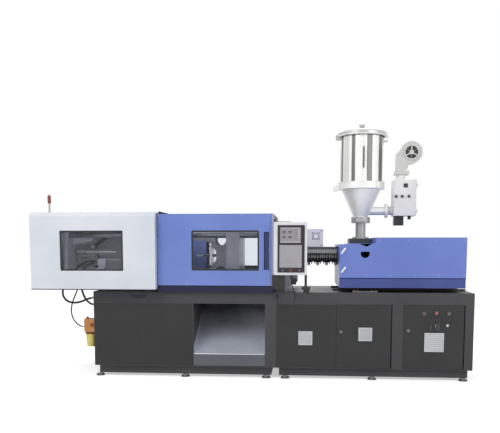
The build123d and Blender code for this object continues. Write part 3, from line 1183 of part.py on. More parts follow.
with BuildPart() as hopper_body:
    # Lower flange, neck tube and the two flanges of the slide gate
    for low, high, radius in (
        (FEED_TOP, FEED_TOP + NECK_FLANGE, 92),
        (FEED_TOP + NECK_FLANGE + SEAT, NECK_TOP - SEAT, NECK_RADIUS),
        (NECK_TOP, GATE_SLOT_Z - SEAT, FLANGE_RADIUS),
    ):
        with BuildSketch(Plane.XZ):
            hopper_profile(((FEED_BORE, low), (radius, low), (radius, high), (FEED_BORE, high)))
        revolve(axis=Axis((HOPPER_X, 0, 0), (0, 0, 1)))
    gate_top = GATE_SLOT_Z + GATE_SLOT + SEAT
    with BuildSketch(Plane.XZ):
        hopper_profile((
            (FEED_BORE, gate_top), (FLANGE_RADIUS, gate_top), (FLANGE_RADIUS, FLANGE_TOP),
            (CONE_LOW_RADIUS - 18, FLANGE_TOP), (FEED_BORE, FLANGE_TOP - 20),
        ))
    revolve(axis=Axis((HOPPER_X, 0, 0), (0, 0, 1)))
    # Horseshoe spacer between them, which leaves the gate's slot open to the front
    with BuildSketch(Plane.XY.offset(GATE_SLOT_Z)):
        disc((HOPPER_X, 0), FLANGE_RADIUS)
        rectangle(HOPPER_X - 62, HOPPER_X + 62, -FLANGE_RADIUS - 1, 66, mode=Mode.SUBTRACT)
    extrude(amount=GATE_SLOT)
    # Cone with the air inlet pipe
    with BuildSketch(Plane.XZ):
        hopper_profile((
            (0, FLANGE_TOP + SEAT), (CONE_LOW_RADIUS, FLANGE_TOP + SEAT), (CONE_LOW_RADIUS, FLANGE_TOP + 8),
            (CONE_TOP_RADIUS, CONE_TOP - SEAT), (0, CONE_TOP - SEAT),
        ))
    revolve(axis=Axis((HOPPER_X, 0, 0), (0, 0, 1)))
    bar_between((HOPPER_X + 60, 0, PIPE_Z), (PIPE_FLANGE_X, 0, PIPE_Z), PIPE_RADIUS)
    bar_between((PIPE_FLANGE_X - 12, 0, PIPE_Z), (PIPE_FLANGE_X, 0, PIPE_Z), PIPE_FLANGE_RADIUS)
    with BuildSketch(Plane.XZ):
        hopper_profile((
            (0, FLANGE_TOP + SEAT / 2), (CONE_LOW_RADIUS - 18, FLANGE_TOP + SEAT / 2),
            (CONE_LOW_RADIUS - 8, FLANGE_TOP + 8), (CONE_TOP_RADIUS - 4, CONE_TOP), (0, CONE_TOP),
        ))
    revolve(axis=Axis((HOPPER_X, 0, 0), (0, 0, 1)), mode=Mode.SUBTRACT)
    bar_between((HOPPER_X + 60, 0, PIPE_Z), (PIPE_FLANGE_X + 1, 0, PIPE_Z), PIPE_RADIUS - 3, mode=Mode.SUBTRACT)
    # Drum on its band ring
    with BuildSketch(Plane.XZ):
        hopper_profile((
            (CONE_TOP_RADIUS - 4, CONE_TOP), (CONE_TOP_RADIUS, CONE_TOP), (RING_RADIUS, CONE_TOP + 4),
            (RING_RADIUS, RING_TOP), (DRUM_RADIUS, RING_TOP), (DRUM_RADIUS, DRUM_TOP),
            (DRUM_RADIUS - HOPPER_WALL, DRUM_TOP), (DRUM_RADIUS - HOPPER_WALL, CONE_TOP + 24),
        ))
    revolve(axis=Axis((HOPPER_X, 0, 0), (0, 0, 1)))
    # Tilt knuckle on the left of the band ring and its latch on the right
    knuckle_x = HOPPER_X - RING_RADIUS - 22
    bar_between((knuckle_x, -60, CONE_TOP + 20), (knuckle_x, 60, CONE_TOP + 20), 33)
    block(knuckle_x, knuckle_x + 30, -60, 60, CONE_TOP + 2, CONE_TOP + 50)
    latch_x, latch_y = polar((HOPPER_X, 0), RING_RADIUS + 5, -52)
    block(latch_x - 11, latch_x + 11, latch_y - 11, latch_y + 11, CONE_TOP + 10, RING_TOP - 7)
    # Two ears and the pin of the lid's hinge
    for y in (-44, 32):
        bar_between((LID_PIVOT[0], y, LID_PIVOT[1]), (LID_PIVOT[0], y + 12, LID_PIVOT[1]), 10)
        block(LID_PIVOT[0] - 8, LID_PIVOT[0] + 6, y, y + 12, DRUM_TOP - 22, LID_PIVOT[1])
        block(LID_PIVOT[0] - 8, HOPPER_X - DRUM_RADIUS + 2, y, y + 12, DRUM_TOP - 22, DRUM_TOP - 1)
    bar_between((LID_PIVOT[0], -40, LID_PIVOT[1]), (LID_PIVOT[0], 40, LID_PIVOT[1]), 5)
pieces["hopper_body"] = hopper_body

with BuildPart() as hopper_gate:
    block(
        HOPPER_X - 60, HOPPER_X + 60, -FLANGE_RADIUS - 30, 62, GATE_SLOT_Z + GAP, GATE_SLOT_Z + GATE_SLOT - GAP,
    )
    block(HOPPER_X - 60, HOPPER_X + 60, -FLANGE_RADIUS - 34, -FLANGE_RADIUS - 28, GATE_SLOT_Z - 10, GATE_SLOT_Z + 18)
pieces["hopper_gate"] = hopper_gate

# Lid: spun crown with a rolled rim, a knob, a latch plate and its hinge knuckle
with BuildPart() as hopper_lid:
    with BuildSketch(Plane.XZ):
        hopper_profile((
            (0, LID_Z), (LID_RADIUS - 8, LID_Z), (LID_RADIUS, LID_Z + 8), (LID_RADIUS, LID_Z + LID_RIM - 8),
            (LID_RADIUS - 8, LID_Z + LID_RIM), (150, LID_Z + LID_RIM + 26), (60, LID_Z + LID_RIM + LID_CROWN),
            (0, LID_Z + LID_RIM + LID_CROWN),
        ))
    revolve(axis=Axis((HOPPER_X, 0, 0), (0, 0, 1)))
    with BuildSketch(Plane.XZ):
        hopper_profile((
            (0, LID_Z - 1), (LID_RADIUS - 20, LID_Z - 1), (LID_RADIUS - 20, LID_Z + LID_RIM - 6),
            (150, LID_Z + LID_RIM + 22), (0, LID_Z + LID_RIM + LID_CROWN - 4),
        ))
    revolve(axis=Axis((HOPPER_X, 0, 0), (0, 0, 1)), mode=Mode.SUBTRACT)
    with Locations((HOPPER_X, 0, LID_Z + LID_RIM + LID_CROWN - 1)):
        Cone(16, 34, 48, align=(Align.CENTER, Align.CENTER, Align.MIN))
    bar_between((LID_PIVOT[0], -30, LID_PIVOT[1]), (LID_PIVOT[0], 30, LID_PIVOT[1]), 11)
    block(LID_PIVOT[0], HOPPER_X - LID_RADIUS + 4, -30, 30, LID_PIVOT[1] - 4, LID_PIVOT[1] + 4)
    bar_between((LID_PIVOT[0], -31, LID_PIVOT[1]), (LID_PIVOT[0], 31, LID_PIVOT[1]), 5 + FIT, mode=Mode.SUBTRACT)
pieces["hopper_lid"] = hopper_lid

# Dryer box: five welded sheets with a door in front, the outlet pipe, the junction box below and the blower neck
DRYER_HINGE = (DRYER_X1 + 6, -DRYER_HALF - 5)
DRYER_HINGE_Z = (DRYER_Z0 + 50, DRYER_Z1 - 60)
with BuildPart() as dryer_box:
    wall_low = DRYER_Z0 + SHEET + SEAT
    wall_high = DRYER_Z1 - SHEET - SEAT
    block(DRYER_X0, DRYER_X1, -DRYER_HALF, DRYER_HALF, DRYER_Z0, DRYER_Z0 + SHEET)
    block(DRYER_X0, DRYER_X1, -DRYER_HALF, DRYER_HALF, DRYER_Z1 - SHEET, DRYER_Z1)
    for x in (DRYER_X0, DRYER_X1 - SHEET):
        block(x, x + SHEET, -DRYER_HALF, DRYER_HALF, wall_low, wall_high)
    block(
        DRYER_X0 + SHEET + SEAT, DRYER_X1 - SHEET - SEAT, DRYER_HALF - SHEET, DRYER_HALF, wall_low, wall_high,
    )
    neck_bore = BLOWER_NECK_RADIUS - 4
    bar_between((DRYER_X0 - 1, 0, PIPE_Z), (DRYER_X0 + SHEET + 1, 0, PIPE_Z), PIPE_RADIUS - 3, mode=Mode.SUBTRACT)
    bar_between(
        (BLOWER_NECK_X, 0, DRYER_Z1 - SHEET - 1), (BLOWER_NECK_X, 0, DRYER_Z1 + 1), neck_bore, mode=Mode.SUBTRACT,
    )
    # Outlet pipe with its flange, the neck up to the blower, the junction box and a gland
    for x0, x1, radius in (
        (PIPE_FLANGE_X, PIPE_FLANGE_X + 12, PIPE_FLANGE_RADIUS),
        (PIPE_FLANGE_X + 12, DRYER_X0 - SEAT, PIPE_RADIUS),
    ):
        with BuildSketch(end_plane(x0)):
            disc((0, PIPE_Z), radius)
            disc((0, PIPE_Z), PIPE_RADIUS - 3, mode=Mode.SUBTRACT)
        extrude(amount=x1 - x0)
    with BuildSketch(Plane.XY.offset(DRYER_Z1 + SEAT)):
        disc((BLOWER_NECK_X, 0), BLOWER_NECK_RADIUS)
        disc((BLOWER_NECK_X, 0), neck_bore, mode=Mode.SUBTRACT)
    extrude(amount=DUCT_LOW - 33 - DRYER_Z1 - SEAT)
    block(DRYER_X0 + 13, DRYER_X0 + 113, -70, 30, DRYER_Z0 - 101, DRYER_Z0 - SEAT)
    bar_between((DRYER_X0 + 173, -60, DRYER_Z0 - SEAT), (DRYER_X0 + 173, -60, DRYER_Z0 - 37), 18)
    hinge_x, hinge_y = DRYER_HINGE
    for z in DRYER_HINGE_Z:
        bar_between((hinge_x, hinge_y, z - 22), (hinge_x, hinge_y, z + 22), 4)
        for start in (z - 22, z + 12.5):
            bar_between((hinge_x, hinge_y, start), (hinge_x, hinge_y, start + 10), 7)
            block(DRYER_X1 + SEAT, hinge_x + 2, hinge_y + 1, -DRYER_HALF + 6, start, start + 10)
pieces["dryer_box"] = dryer_box

with BuildPart() as dryer_door:
    block(
        DRYER_X0 + 2, DRYER_X1 - 2, -DRYER_HALF - 4, -DRYER_HALF - GAP, DRYER_Z0 + 2, DRYER_Z1 - 2,
    )
    for z in DRYER_HINGE_Z:
        bar_between((hinge_x, hinge_y, z - 11.5), (hinge_x, hinge_y, z + 12), 7)
        block(DRYER_X1 - 6, DRYER_X1 + 4, hinge_y - 2, hinge_y + 1.5, z - 11.5, z + 12)
        bar_between((hinge_x, hinge_y, z - 12), (hinge_x, hinge_y, z + 12.5), 4 + FIT, mode=Mode.SUBTRACT)
    for x in (1226, 1290, 1360):
        bar_between((x, -DRYER_HALF - 3, 1911), (x, -DRYER_HALF - 20, 1911), 14)
    block(1303, 1347, -DRYER_HALF - 9, -DRYER_HALF - 3, 2004, 2046)
pieces["dryer_door"] = dryer_door

# Blower: scroll with a duct down to the neck, intake ring with three spokes, motor behind
with BuildPart() as blower_housing:
    with BuildSketch(side_plane(BLOWER_HALF)):
        disc((BLOWER_X, BLOWER_Z), BLOWER_RADIUS)
        Polygon(
            (DUCT_LEFT, DUCT_LOW), (DUCT_RIGHT, DUCT_LOW), (BLOWER_X - 10, BLOWER_Z - 90), (BLOWER_X - 40, BLOWER_Z + 106),
            (DUCT_LEFT + 60, BLOWER_Z + 70), (DUCT_LEFT, BLOWER_Z - 10), align=None,
        )
    extrude(amount=2 * BLOWER_HALF)
    inside = BLOWER_HALF - 4
    bar_between((BLOWER_X, inside, BLOWER_Z), (BLOWER_X, -inside, BLOWER_Z), BLOWER_RADIUS - 5, mode=Mode.SUBTRACT)
    block(DUCT_LEFT + 4, DUCT_RIGHT - 4, -inside, inside, DUCT_LOW - 1, BLOWER_Z - 40, mode=Mode.SUBTRACT)
    rim_y = -BLOWER_HALF - 14
    bar_between((BLOWER_X, rim_y, BLOWER_Z), (BLOWER_X, -BLOWER_HALF + 1, BLOWER_Z), INTAKE_RADIUS)
    bar_between(
        (BLOWER_X, rim_y - 1, BLOWER_Z), (BLOWER_X, -BLOWER_HALF + 5, BLOWER_Z), INTAKE_RADIUS - 14, mode=Mode.SUBTRACT,
    )
    with BuildSketch(side_plane(-BLOWER_HALF - 4)):
        disc((BLOWER_X, BLOWER_Z), 24)
        for turn in (90, 210, 330):
            strap((BLOWER_X, BLOWER_Z), polar((BLOWER_X, BLOWER_Z), INTAKE_RADIUS - 10, turn), 7)
    extrude(amount=6)
    bar_between((BLOWER_X, BLOWER_HALF - 1, BLOWER_Z), (BLOWER_X, BLOWER_HALF + 110, BLOWER_Z), 66)
    block(DUCT_LEFT - 16, DUCT_RIGHT + 30, -66, 66, DUCT_LOW - 33, DUCT_LOW - 17)
    block(DUCT_LEFT - 16, DUCT_RIGHT + 30, -66, 66, DUCT_LOW - 17, DUCT_LOW + 1)
    bar_between(
        (BLOWER_NECK_X, 0, DUCT_LOW - 34), (BLOWER_NECK_X, 0, DUCT_LOW + 2), BLOWER_NECK_RADIUS - 7, mode=Mode.SUBTRACT,
    )
pieces["blower_housing"] = blower_housing

# Impeller: back disc, hub and backward blades
IMPELLER_RADIUS = 98.0
IMPELLER_BLADES = 12
with BuildPart() as blower_impeller:
    bar_between((BLOWER_X, 46, BLOWER_Z), (BLOWER_X, 43, BLOWER_Z), IMPELLER_RADIUS)
    bar_between((BLOWER_X, BLOWER_HALF - 4 - GAP, BLOWER_Z), (BLOWER_X, -20, BLOWER_Z), 16)
    with BuildSketch(side_plane(44)):
        for index in range(IMPELLER_BLADES):
            turn = index * 360 / IMPELLER_BLADES
            inner = polar((BLOWER_X, BLOWER_Z), 66, turn)
            strap(inner, polar((BLOWER_X, BLOWER_Z), IMPELLER_RADIUS - 1, turn - 22), 1.5)
    extrude(amount=78)
pieces["blower_impeller"] = blower_impeller

# Lubricator on the left end of the base: pump block, rim and reservoir
LUB_X0 = -2082.0
LUB_X1 = BASE_LEFT
LUB_Y = -500.0
with BuildPart() as lubricator:
    block(LUB_X0, LUB_X1, LUB_Y - 52, LUB_Y + 52, 470, 610)
    bar_between((LUB_X0 + 54, LUB_Y, 471), (LUB_X0 + 54, LUB_Y, 446), 56)
    bar_between((LUB_X0 + 22, LUB_Y, 609), (LUB_X0 + 22, LUB_Y, 628), 13)
pieces["lubricator"] = lubricator

with BuildPart() as lubricator_tank:
    with Locations((LUB_X0 + 54, LUB_Y, 310)):
        Cone(42, 52, 446 - 310, align=(Align.CENTER, Align.CENTER, Align.MIN))
pieces["lubricator_tank"] = lubricator_tank


def hose(points, radius):
    """Round hose along straight runs joined by tangent arcs, each as large as its two runs allow."""
    vectors = [Vector(*point) for point in points]
    radii = []
    for before, corner, after in zip(vectors, vectors[1:], vectors[2:]):
        turn = (corner - before).get_angle(after - corner)
        shorter = min((corner - before).length, (after - corner).length)
        radii.append(0.45 * shorter / tan(radians(turn) / 2))
    print("hose radii", [round(value) for value in radii])
    with BuildPart() as tube:
        with BuildLine() as route:
            FilletPolyline(*points, radius=radii)
        start = route.line @ 0
        with BuildSketch(Plane(origin=start, z_dir=route.line % 0)):
            Circle(radius)
        sweep(path=route.line)
    run = sum(edge.length for edge in route.edges())
    print("hose volume ratio", round(tube.part.volume / (pi * radius**2 * run), 4))
    return tube


HOSE_LONG = [
    (PORT_X, PORT_Y, PORT_HEIGHTS[0]), (-2098, PORT_Y, PORT_HEIGHTS[0]), (-2164, -196, 1204), (-2220, -230, 1172),
    (-2262, -282, 1122), (-2298, -332, 1060), (-2334, -370, 996), (-2360, -398, 926), (-2362, -414, 860),
    (-2332, -426, 806), (-2278, -436, 776), (-2212, -444, 770), (-2148, -450, 782), (-2090, -454, 806),
    (-2040, *HOSE_GLANDS[0]), (BASE_LEFT - GLAND_LENGTH, *HOSE_GLANDS[0]),
]
HOSE_SHORT = [
    (PORT_X, PORT_Y, PORT_HEIGHTS[1]), (-2078, PORT_Y, PORT_HEIGHTS[1]), (-2128, -194, 1179), (-2168, -224, 1154),
    (-2186, -276, 1108), (-2184, -330, 1048), (-2170, -372, 982), (-2152, -396, 914), (-2134, -404, 856),
    (-2106, -408, 806), (-2070, -408, 768), (-2030, *HOSE_GLANDS[1]), (BASE_LEFT - GLAND_LENGTH, *HOSE_GLANDS[1]),
]
HOSE_LUBRICATOR = [
    (TAIL_FRONT + 16, LUB_PORT[0], LUB_PORT[1]), (-2268, LUB_PORT[0], LUB_PORT[1]), (-2236, -300, 994),
    (-2212, -324, 974), (-2203, -358, 940), (-2207, -400, 892), (-2218, -436, 842), (-2232, -470, 784),
    (-2240, -490, 720), (-2236, -500, 652), (-2214, -500, 592), (-2176, -500, 548), (-2130, LUB_Y, LUB_INLET_Z),
    (LUB_X0, LUB_Y, LUB_INLET_Z),
]
PANEL_CABLE = [
    (118, -608, PANEL_Z0), (118, -608, 1036), (128, -615, 984), (146, -624, 928), (160, -632, 870), (160, -638, 812),
    (136, -642, 764), (92, -645, 740), (42, -648, 744), (4, -651, 772), (-17, -652, 814), (-24, -640, 850),
    (CABLE_GLAND[0], -612, CABLE_GLAND[1]), (CABLE_GLAND[0], -BASE_HALF - 10, CABLE_GLAND[1]),
]
pieces["hose_long"] = hose(HOSE_LONG, HOSE_RADIUS)
pieces["hose_short"] = hose(HOSE_SHORT, HOSE_RADIUS)
pieces["hose_lubricator"] = hose(HOSE_LUBRICATOR, LUB_HOSE_RADIUS)
pieces["panel_cable"] = hose(PANEL_CABLE, CABLE_RADIUS)

os.makedirs("parts", exist_ok=True)
for name, piece in pieces.items():
    piece.part.label = name
    export_step(piece.part, f"parts/{name}.step")
print(len(pieces), "pieces")
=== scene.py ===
from math import cos, pi, radians, sin

import bmesh
import bpy
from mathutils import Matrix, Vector


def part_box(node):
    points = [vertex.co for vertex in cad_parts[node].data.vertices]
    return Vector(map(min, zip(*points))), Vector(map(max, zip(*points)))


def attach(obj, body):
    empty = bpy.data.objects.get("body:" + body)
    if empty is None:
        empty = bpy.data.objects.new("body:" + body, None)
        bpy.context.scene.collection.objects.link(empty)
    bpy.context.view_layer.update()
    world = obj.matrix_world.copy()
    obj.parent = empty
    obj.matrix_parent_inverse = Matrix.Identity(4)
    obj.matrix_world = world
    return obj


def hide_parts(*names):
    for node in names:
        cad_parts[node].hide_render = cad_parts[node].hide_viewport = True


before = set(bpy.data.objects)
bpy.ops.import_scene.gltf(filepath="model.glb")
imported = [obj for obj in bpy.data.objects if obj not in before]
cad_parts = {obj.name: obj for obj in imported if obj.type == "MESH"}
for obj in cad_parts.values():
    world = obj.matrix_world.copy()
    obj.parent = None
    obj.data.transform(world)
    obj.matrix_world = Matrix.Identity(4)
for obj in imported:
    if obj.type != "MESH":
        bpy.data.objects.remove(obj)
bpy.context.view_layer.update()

# Sizes are in metres, in the frame of the machine: X towards the injection end, Y to the rear, Z up.
AXIS_Z = 1.275
BASE_FACE = -0.56
PLATE_FACE = -0.562
BASE_TOP = 0.905
COVER_FACE = -0.69
GATE_FACE = -0.6
FASCIA_FACE = -0.66
HOPPER_AXIS = (0.865, 0)
INJECTION_FACE = -0.52
X = Vector((1, 0, 0))
Y = Vector((0, 1, 0))
Z = Vector((0, 0, 1))

# Colours of the finishes, as screen values from 0 to 255
COVER_WHITE = (224, 228, 236)
COVER_SHADE = (206, 212, 222)
GATE_BLUE = (116, 138, 208)
GATE_DEEP = (98, 120, 192)
INJECTION_BLUE = (108, 128, 202)
# The skirt's darker blue is painted shade on the stepped-in lower band of the injection cover
SKIRT_SHADED_BLUE = (60, 76, 144)
RAIL_NAVY = (26, 30, 60)
POST_BLUE = (156, 164, 190)
PULL_NAVY = (52, 64, 112)
BASE_GREY = (74, 74, 76)
BASE_DARK = (50, 50, 51)
PLATEN_GREY = (176, 174, 184)
LINK_DARK = (58, 57, 48)
BLACK = (26, 26, 28)
BAND_BLACK = (46, 46, 46)
DRYER_WHITE = (244, 243, 243)
BLOWER_GREY = (208, 208, 206)
VENT_WHITE = (214, 216, 219)
LUB_ORANGE = (188, 138, 78)
LUB_YELLOW = (224, 208, 100)
KEY_GREY = (172, 170, 174)
GUARD_LILAC = (238, 236, 250)
STOP_RED = (112, 20, 26)
# The drum's bright and dark tones paint its reflections as tall stripes
DRUM_REFLECTION_BRIGHT = (253, 253, 250)
DRUM_REFLECTION_DARK = (112, 112, 110)


def linear(colour):
    """Linear colour with alpha from screen values."""
    parts = [value / 255 for value in colour]
    parts = [value / 12.92 if value <= 0.04045 else ((value + 0.055) / 1.055) ** 2.4 for value in parts]
    return (*parts, 1.0)


def put(tree, kind, inputs=None, **settings):
    """New node with its settings, and each input set or linked."""
    node = tree.nodes.new(kind)
    for key, value in settings.items():
        setattr(node, key, value)
    for key, value in (inputs or {}).items():
        socket = node.inputs[key]
        if isinstance(value, bpy.types.NodeSocket):
            tree.links.new(value, socket)
        else:
            socket.default_value = value
    return node


def blend_colours(tree, factor, first, second):
    """Result of a colour mix."""
    return put(tree, "ShaderNodeMix", {0: factor, 6: first, 7: second}, data_type="RGBA").outputs[2]


def start_group(name, inputs, outputs):
    """Empty shader group with named inputs (name, kind, default) and outputs (name, kind)."""
    group = bpy.data.node_groups.new(name, "ShaderNodeTree")
    for label, kind, default in inputs:
        socket = group.interface.new_socket(name=label, in_out="INPUT", socket_type=kind)
        socket.default_value = default
    for label, kind in outputs:
        group.interface.new_socket(name=label, in_out="OUTPUT", socket_type=kind)
    return group, group.nodes.new("NodeGroupInput").outputs, group.nodes.new("NodeGroupOutput").inputs


def noise(tree, coordinates, scale, detail=2.0, roughness=0.5):
    """Noise value at a scale per metre."""
    settings = {"Vector": coordinates, "Scale": scale, "Detail": detail, "Roughness": roughness}
    return put(tree, "ShaderNodeTexNoise", settings).outputs["Fac"]


def remap(tree, value, low, high, to_low=0.0, to_high=1.0):
    """Value carried from one range to another, held inside it."""
    settings = {"Value": value, "From Min": low, "From Max": high, "To Min": to_low, "To Max": to_high}
    return put(tree, "ShaderNodeMapRange", settings).outputs["Result"]


def maths(tree, operation, first, second=0.5):
    """Result of one sum."""
    return put(tree, "ShaderNodeMath", {0: first, 1: second}, operation=operation).outputs[0]


def own_place(tree):
    """Place of a point in the machine's own frame."""
    return put(tree, "ShaderNodeTexCoord").outputs["Object"]


FLOAT = "NodeSocketFloat"
COLOUR = "NodeSocketColor"
VECTOR = "NodeSocketVector"


def paint_film_group():
    """Sprayed paint: broad patches of a second shade, fine orange peel and uneven gloss."""
    group, given, result = start_group(
        "Paint film",
        [("Colour", COLOUR, (0.5, 0.5, 0.5, 1)), ("Shade", COLOUR, (0.4, 0.4, 0.4, 1)),
         ("Patches", FLOAT, 1.4),
         ("Grain", FLOAT, 420.0), ("Roughness", FLOAT, 0.4)],
        [("Colour", COLOUR), ("Roughness", FLOAT), ("Height", FLOAT)],
    )
    place = own_place(group)
    broad = remap(group, noise(group, place, given["Patches"], 3.0), 0.35, 0.7)
    coarse = noise(group, place, maths(group, "MULTIPLY", given["Grain"], 0.12), 4.0)
    shade = maths(group, "MAXIMUM", broad, remap(group, coarse, 0.3, 0.8, 0.0, 0.35))
    group.links.new(blend_colours(group, shade, given["Colour"], given["Shade"]), result["Colour"])
    rough = maths(group, "ADD", given["Roughness"], remap(group, broad, 0, 1, -0.05, 0.07))
    group.links.new(rough, result["Roughness"])
    group.links.new(noise(group, place, given["Grain"], 2.0), result["Height"])
    return group


def worked_metal_group():
    """Bare metal: fine streaks along one direction, cloudy stains and broad bands of painted reflection."""
    group, given, result = start_group(
        "Worked metal",
        [("Colour", COLOUR, (0.5, 0.5, 0.5, 1)), ("Shade", COLOUR, (0.3, 0.3, 0.3, 1)),
         ("Stretch", VECTOR, (1, 1, 1)),
         ("Streaks", FLOAT, 0.5), ("Reflection Bands", FLOAT, 0.0), ("Band Stretch", VECTOR, (9, 9, 0.1)),
         ("Roughness", FLOAT, 0.3)],
        [("Colour", COLOUR), ("Roughness", FLOAT), ("Height", FLOAT)],
    )
    place = own_place(group)
    drawn = put(group, "ShaderNodeVectorMath", {0: place, 1: given["Stretch"]},
                operation="MULTIPLY").outputs[0]
    streak = noise(group, drawn, 90.0, 4.0, 0.6)
    cloud = remap(group, noise(group, place, 3.0, 3.0), 0.35, 0.75)
    both = maths(group, "ADD", remap(group, streak, 0.3, 0.7), cloud)
    mark = maths(group, "MULTIPLY", both, maths(group, "MULTIPLY", given["Streaks"], 0.5))
    # Broad bands of painted reflection
    reflection_place = put(group, "ShaderNodeVectorMath", {0: place, 1: given["Band Stretch"]},
                 operation="MULTIPLY").outputs[0]
    band = remap(group, noise(group, reflection_place, 1.0, 1.0), 0.47, 0.56)
    mark = maths(group, "MAXIMUM", mark, maths(group, "MULTIPLY", band, given["Reflection Bands"]))
    group.links.new(blend_colours(group, mark, given["Colour"], given["Shade"]), result["Colour"])
    rough = maths(group, "ADD", given["Roughness"], remap(group, streak, 0.3, 0.7, -0.06, 0.1))
    group.links.new(rough, result["Roughness"])
    group.links.new(streak, result["Height"])
    return group


def edge_wear_highlight_group():
    """Mask of the edges that are lightened, partly as wear and partly as a painted edge highlight, broken up
    by noise.
    """
    group, given, result = start_group(
        "Worn and highlighted edges", [("Width", FLOAT, 0.003), ("Amount", FLOAT, 0.5)], [("Mask", FLOAT)],
    )
    rounded = put(group, "ShaderNodeBevel", {"Radius": given["Width"]}, samples=4).outputs["Normal"]
    flat = put(group, "ShaderNodeNewGeometry").outputs["Normal"]
    match = put(group, "ShaderNodeVectorMath", {0: rounded, 1: flat},
                operation="DOT_PRODUCT").outputs["Value"]
    edge = remap(group, match, 0.98, 0.75)
    broken = remap(group, noise(group, own_place(group), 35.0, 4.0), 0.3, 0.65, 0.25, 1.0)
    mask = maths(group, "MULTIPLY", maths(group, "MULTIPLY", edge, broken), given["Amount"])
    group.links.new(mask, result["Mask"])
    return group


def settled_dust_group():
    """Dust that lies on the faces that look up, with thin patches lower down."""
    group, given, result = start_group(
        "Settled dust",
        [("Colour", COLOUR, (0.5, 0.5, 0.5, 1)), ("Dust", COLOUR, linear((188, 184, 178))),
         ("Amount", FLOAT, 0.3)],
        [("Colour", COLOUR), ("Mask", FLOAT)],
    )
    normal = put(group, "ShaderNodeNewGeometry").outputs["Normal"]
    up = put(group, "ShaderNodeSeparateXYZ", {0: normal}).outputs["Z"]
    patchy = remap(group, noise(group, own_place(group), 6.0, 5.0, 0.6), 0.38, 0.72)
    lying = maths(group, "MULTIPLY", remap(group, up, 0.35, 1.0, 0.12, 1.0), patchy)
    mask = maths(group, "MULTIPLY", lying, given["Amount"])
    group.links.new(blend_colours(group, mask, given["Colour"], given["Dust"]), result["Colour"])
    group.links.new(mask, result["Mask"])
    return group


def drum_reflection_stripes_group():
    """Mask of tall dark stripes of painted reflection round an upright axis: 0 is bright and 1 is dark."""
    group, given, result = start_group(
        "Drum painted reflection stripes", [("Centre", VECTOR, (0, 0, 0)), ("Waver", FLOAT, 0.02)], [("Mask", FLOAT)],
    )
    place = own_place(group)
    offset = put(group, "ShaderNodeVectorMath", {0: place, 1: given["Centre"]},
                 operation="SUBTRACT").outputs[0]
    parts = put(group, "ShaderNodeSeparateXYZ", {0: offset}).outputs
    angle = maths(group, "ARCTAN2", parts["Y"], parts["X"])
    sway = remap(group, noise(group, place, 3.0), 0.3, 0.7, -0.5, 0.5)
    angle = maths(group, "ADD", angle, maths(group, "MULTIPLY", sway, given["Waver"]))
    ramp = put(group, "ShaderNodeValToRGB", {"Fac": remap(group, angle, -pi, pi)})
    stops = ramp.color_ramp.elements
    stops[0].color = stops[1].color = (0.6, 0.6, 0.6, 1)
    stops.new(9 / 360).color = (0.6, 0.6, 0.6, 1)
    stops.new(352 / 360).color = (0, 0, 0, 1)
    for middle, half, dark in REFLECTION_STRIPE_TABLE:
        for turn, level in ((-half - 3, 0), (-half, dark), (half, dark), (half + 3, 0)):
            stops.new((middle + turn + 180) / 360).color = (level, level, level, 1)
    group.links.new(ramp.outputs["Color"], result["Mask"])
    return group


# Painted reflection stripes of the drum: middle and half width in degrees, and how dark
REFLECTION_STRIPE_TABLE = ((-159, 5, 1.0), (-140, 9, 0.3), (-117, 4, 1.0), (-73, 7, 1.0), (-32, 10, 0.95), (60, 9, 0.95),
           (125, 5, 1.0))
PAINT_FILM = paint_film_group()
DRUM_REFLECTION_GROUP = drum_reflection_stripes_group()
WORKED_METAL = worked_metal_group()
EDGE_WEAR_HIGHLIGHT = edge_wear_highlight_group()
SETTLED_DUST = settled_dust_group()


def new_material(name):
    """Empty node material with its Principled shader."""
    material = bpy.data.materials.new(name)
    material.use_nodes = True
    tree = material.node_tree
    shader = next(node for node in tree.nodes if node.type == "BSDF_PRINCIPLED")
    return material, tree, shader


def finish_surface(tree, shader, surface, edge_colour, edge, width, dust, bump, distance):
    """Lighter edges, partly wear and partly painted highlight, and dust over a surface group, its gloss and
    its fine relief.
    """
    edge_wear_highlight = put(tree, "ShaderNodeGroup", {}, node_tree=EDGE_WEAR_HIGHLIGHT)
    edge_wear_highlight.inputs["Width"].default_value = width
    edge_wear_highlight.inputs["Amount"].default_value = edge
    # Edges are lightened: partly wear, partly painted highlight
    colour = blend_colours(tree, edge_wear_highlight.outputs["Mask"], surface["Colour"], linear(edge_colour))
    settled = put(tree, "ShaderNodeGroup", {}, node_tree=SETTLED_DUST)
    settled.inputs["Amount"].default_value = dust
    tree.links.new(colour, settled.inputs["Colour"])
    tree.links.new(settled.outputs["Colour"], shader.inputs["Base Color"])
    rough = maths(tree, "ADD", surface["Roughness"], maths(tree, "MULTIPLY", settled.outputs["Mask"], 0.35))
    tree.links.new(rough, shader.inputs["Roughness"])
    relief = put(tree, "ShaderNodeBump", {"Strength": bump, "Distance": distance,
                                          "Height": surface["Height"]})
    tree.links.new(relief.outputs["Normal"], shader.inputs["Normal"])


def surface_group(tree, group, values):
    """A surface group placed in a material with its own values."""
    node = tree.nodes.new("ShaderNodeGroup")
    node.node_tree = group
    for key, value in values.items():
        node.inputs[key].default_value = value
    return node.outputs


def painted(name, colour, shade, roughness=0.4, edge_colour=None, edge=0.35, dust=0.12, grain=420.0,
            patches=1.4,
            bump=0.12, coat=0.0, width=0.003, sheen=0.5):
    """Painted or moulded surface."""
    material, tree, shader = new_material(name)
    film = surface_group(tree, PAINT_FILM, {
        "Colour": linear(colour), "Shade": linear(shade), "Patches": patches, "Grain": grain,
        "Roughness": roughness,
    })
    light = edge_colour or tuple(min(255, value + 34) for value in colour)
    finish_surface(tree, shader, film, light, edge, width, dust, bump, 0.0004)
    shader.inputs["Coat Weight"].default_value = coat
    shader.inputs["Specular IOR Level"].default_value = sheen
    return material


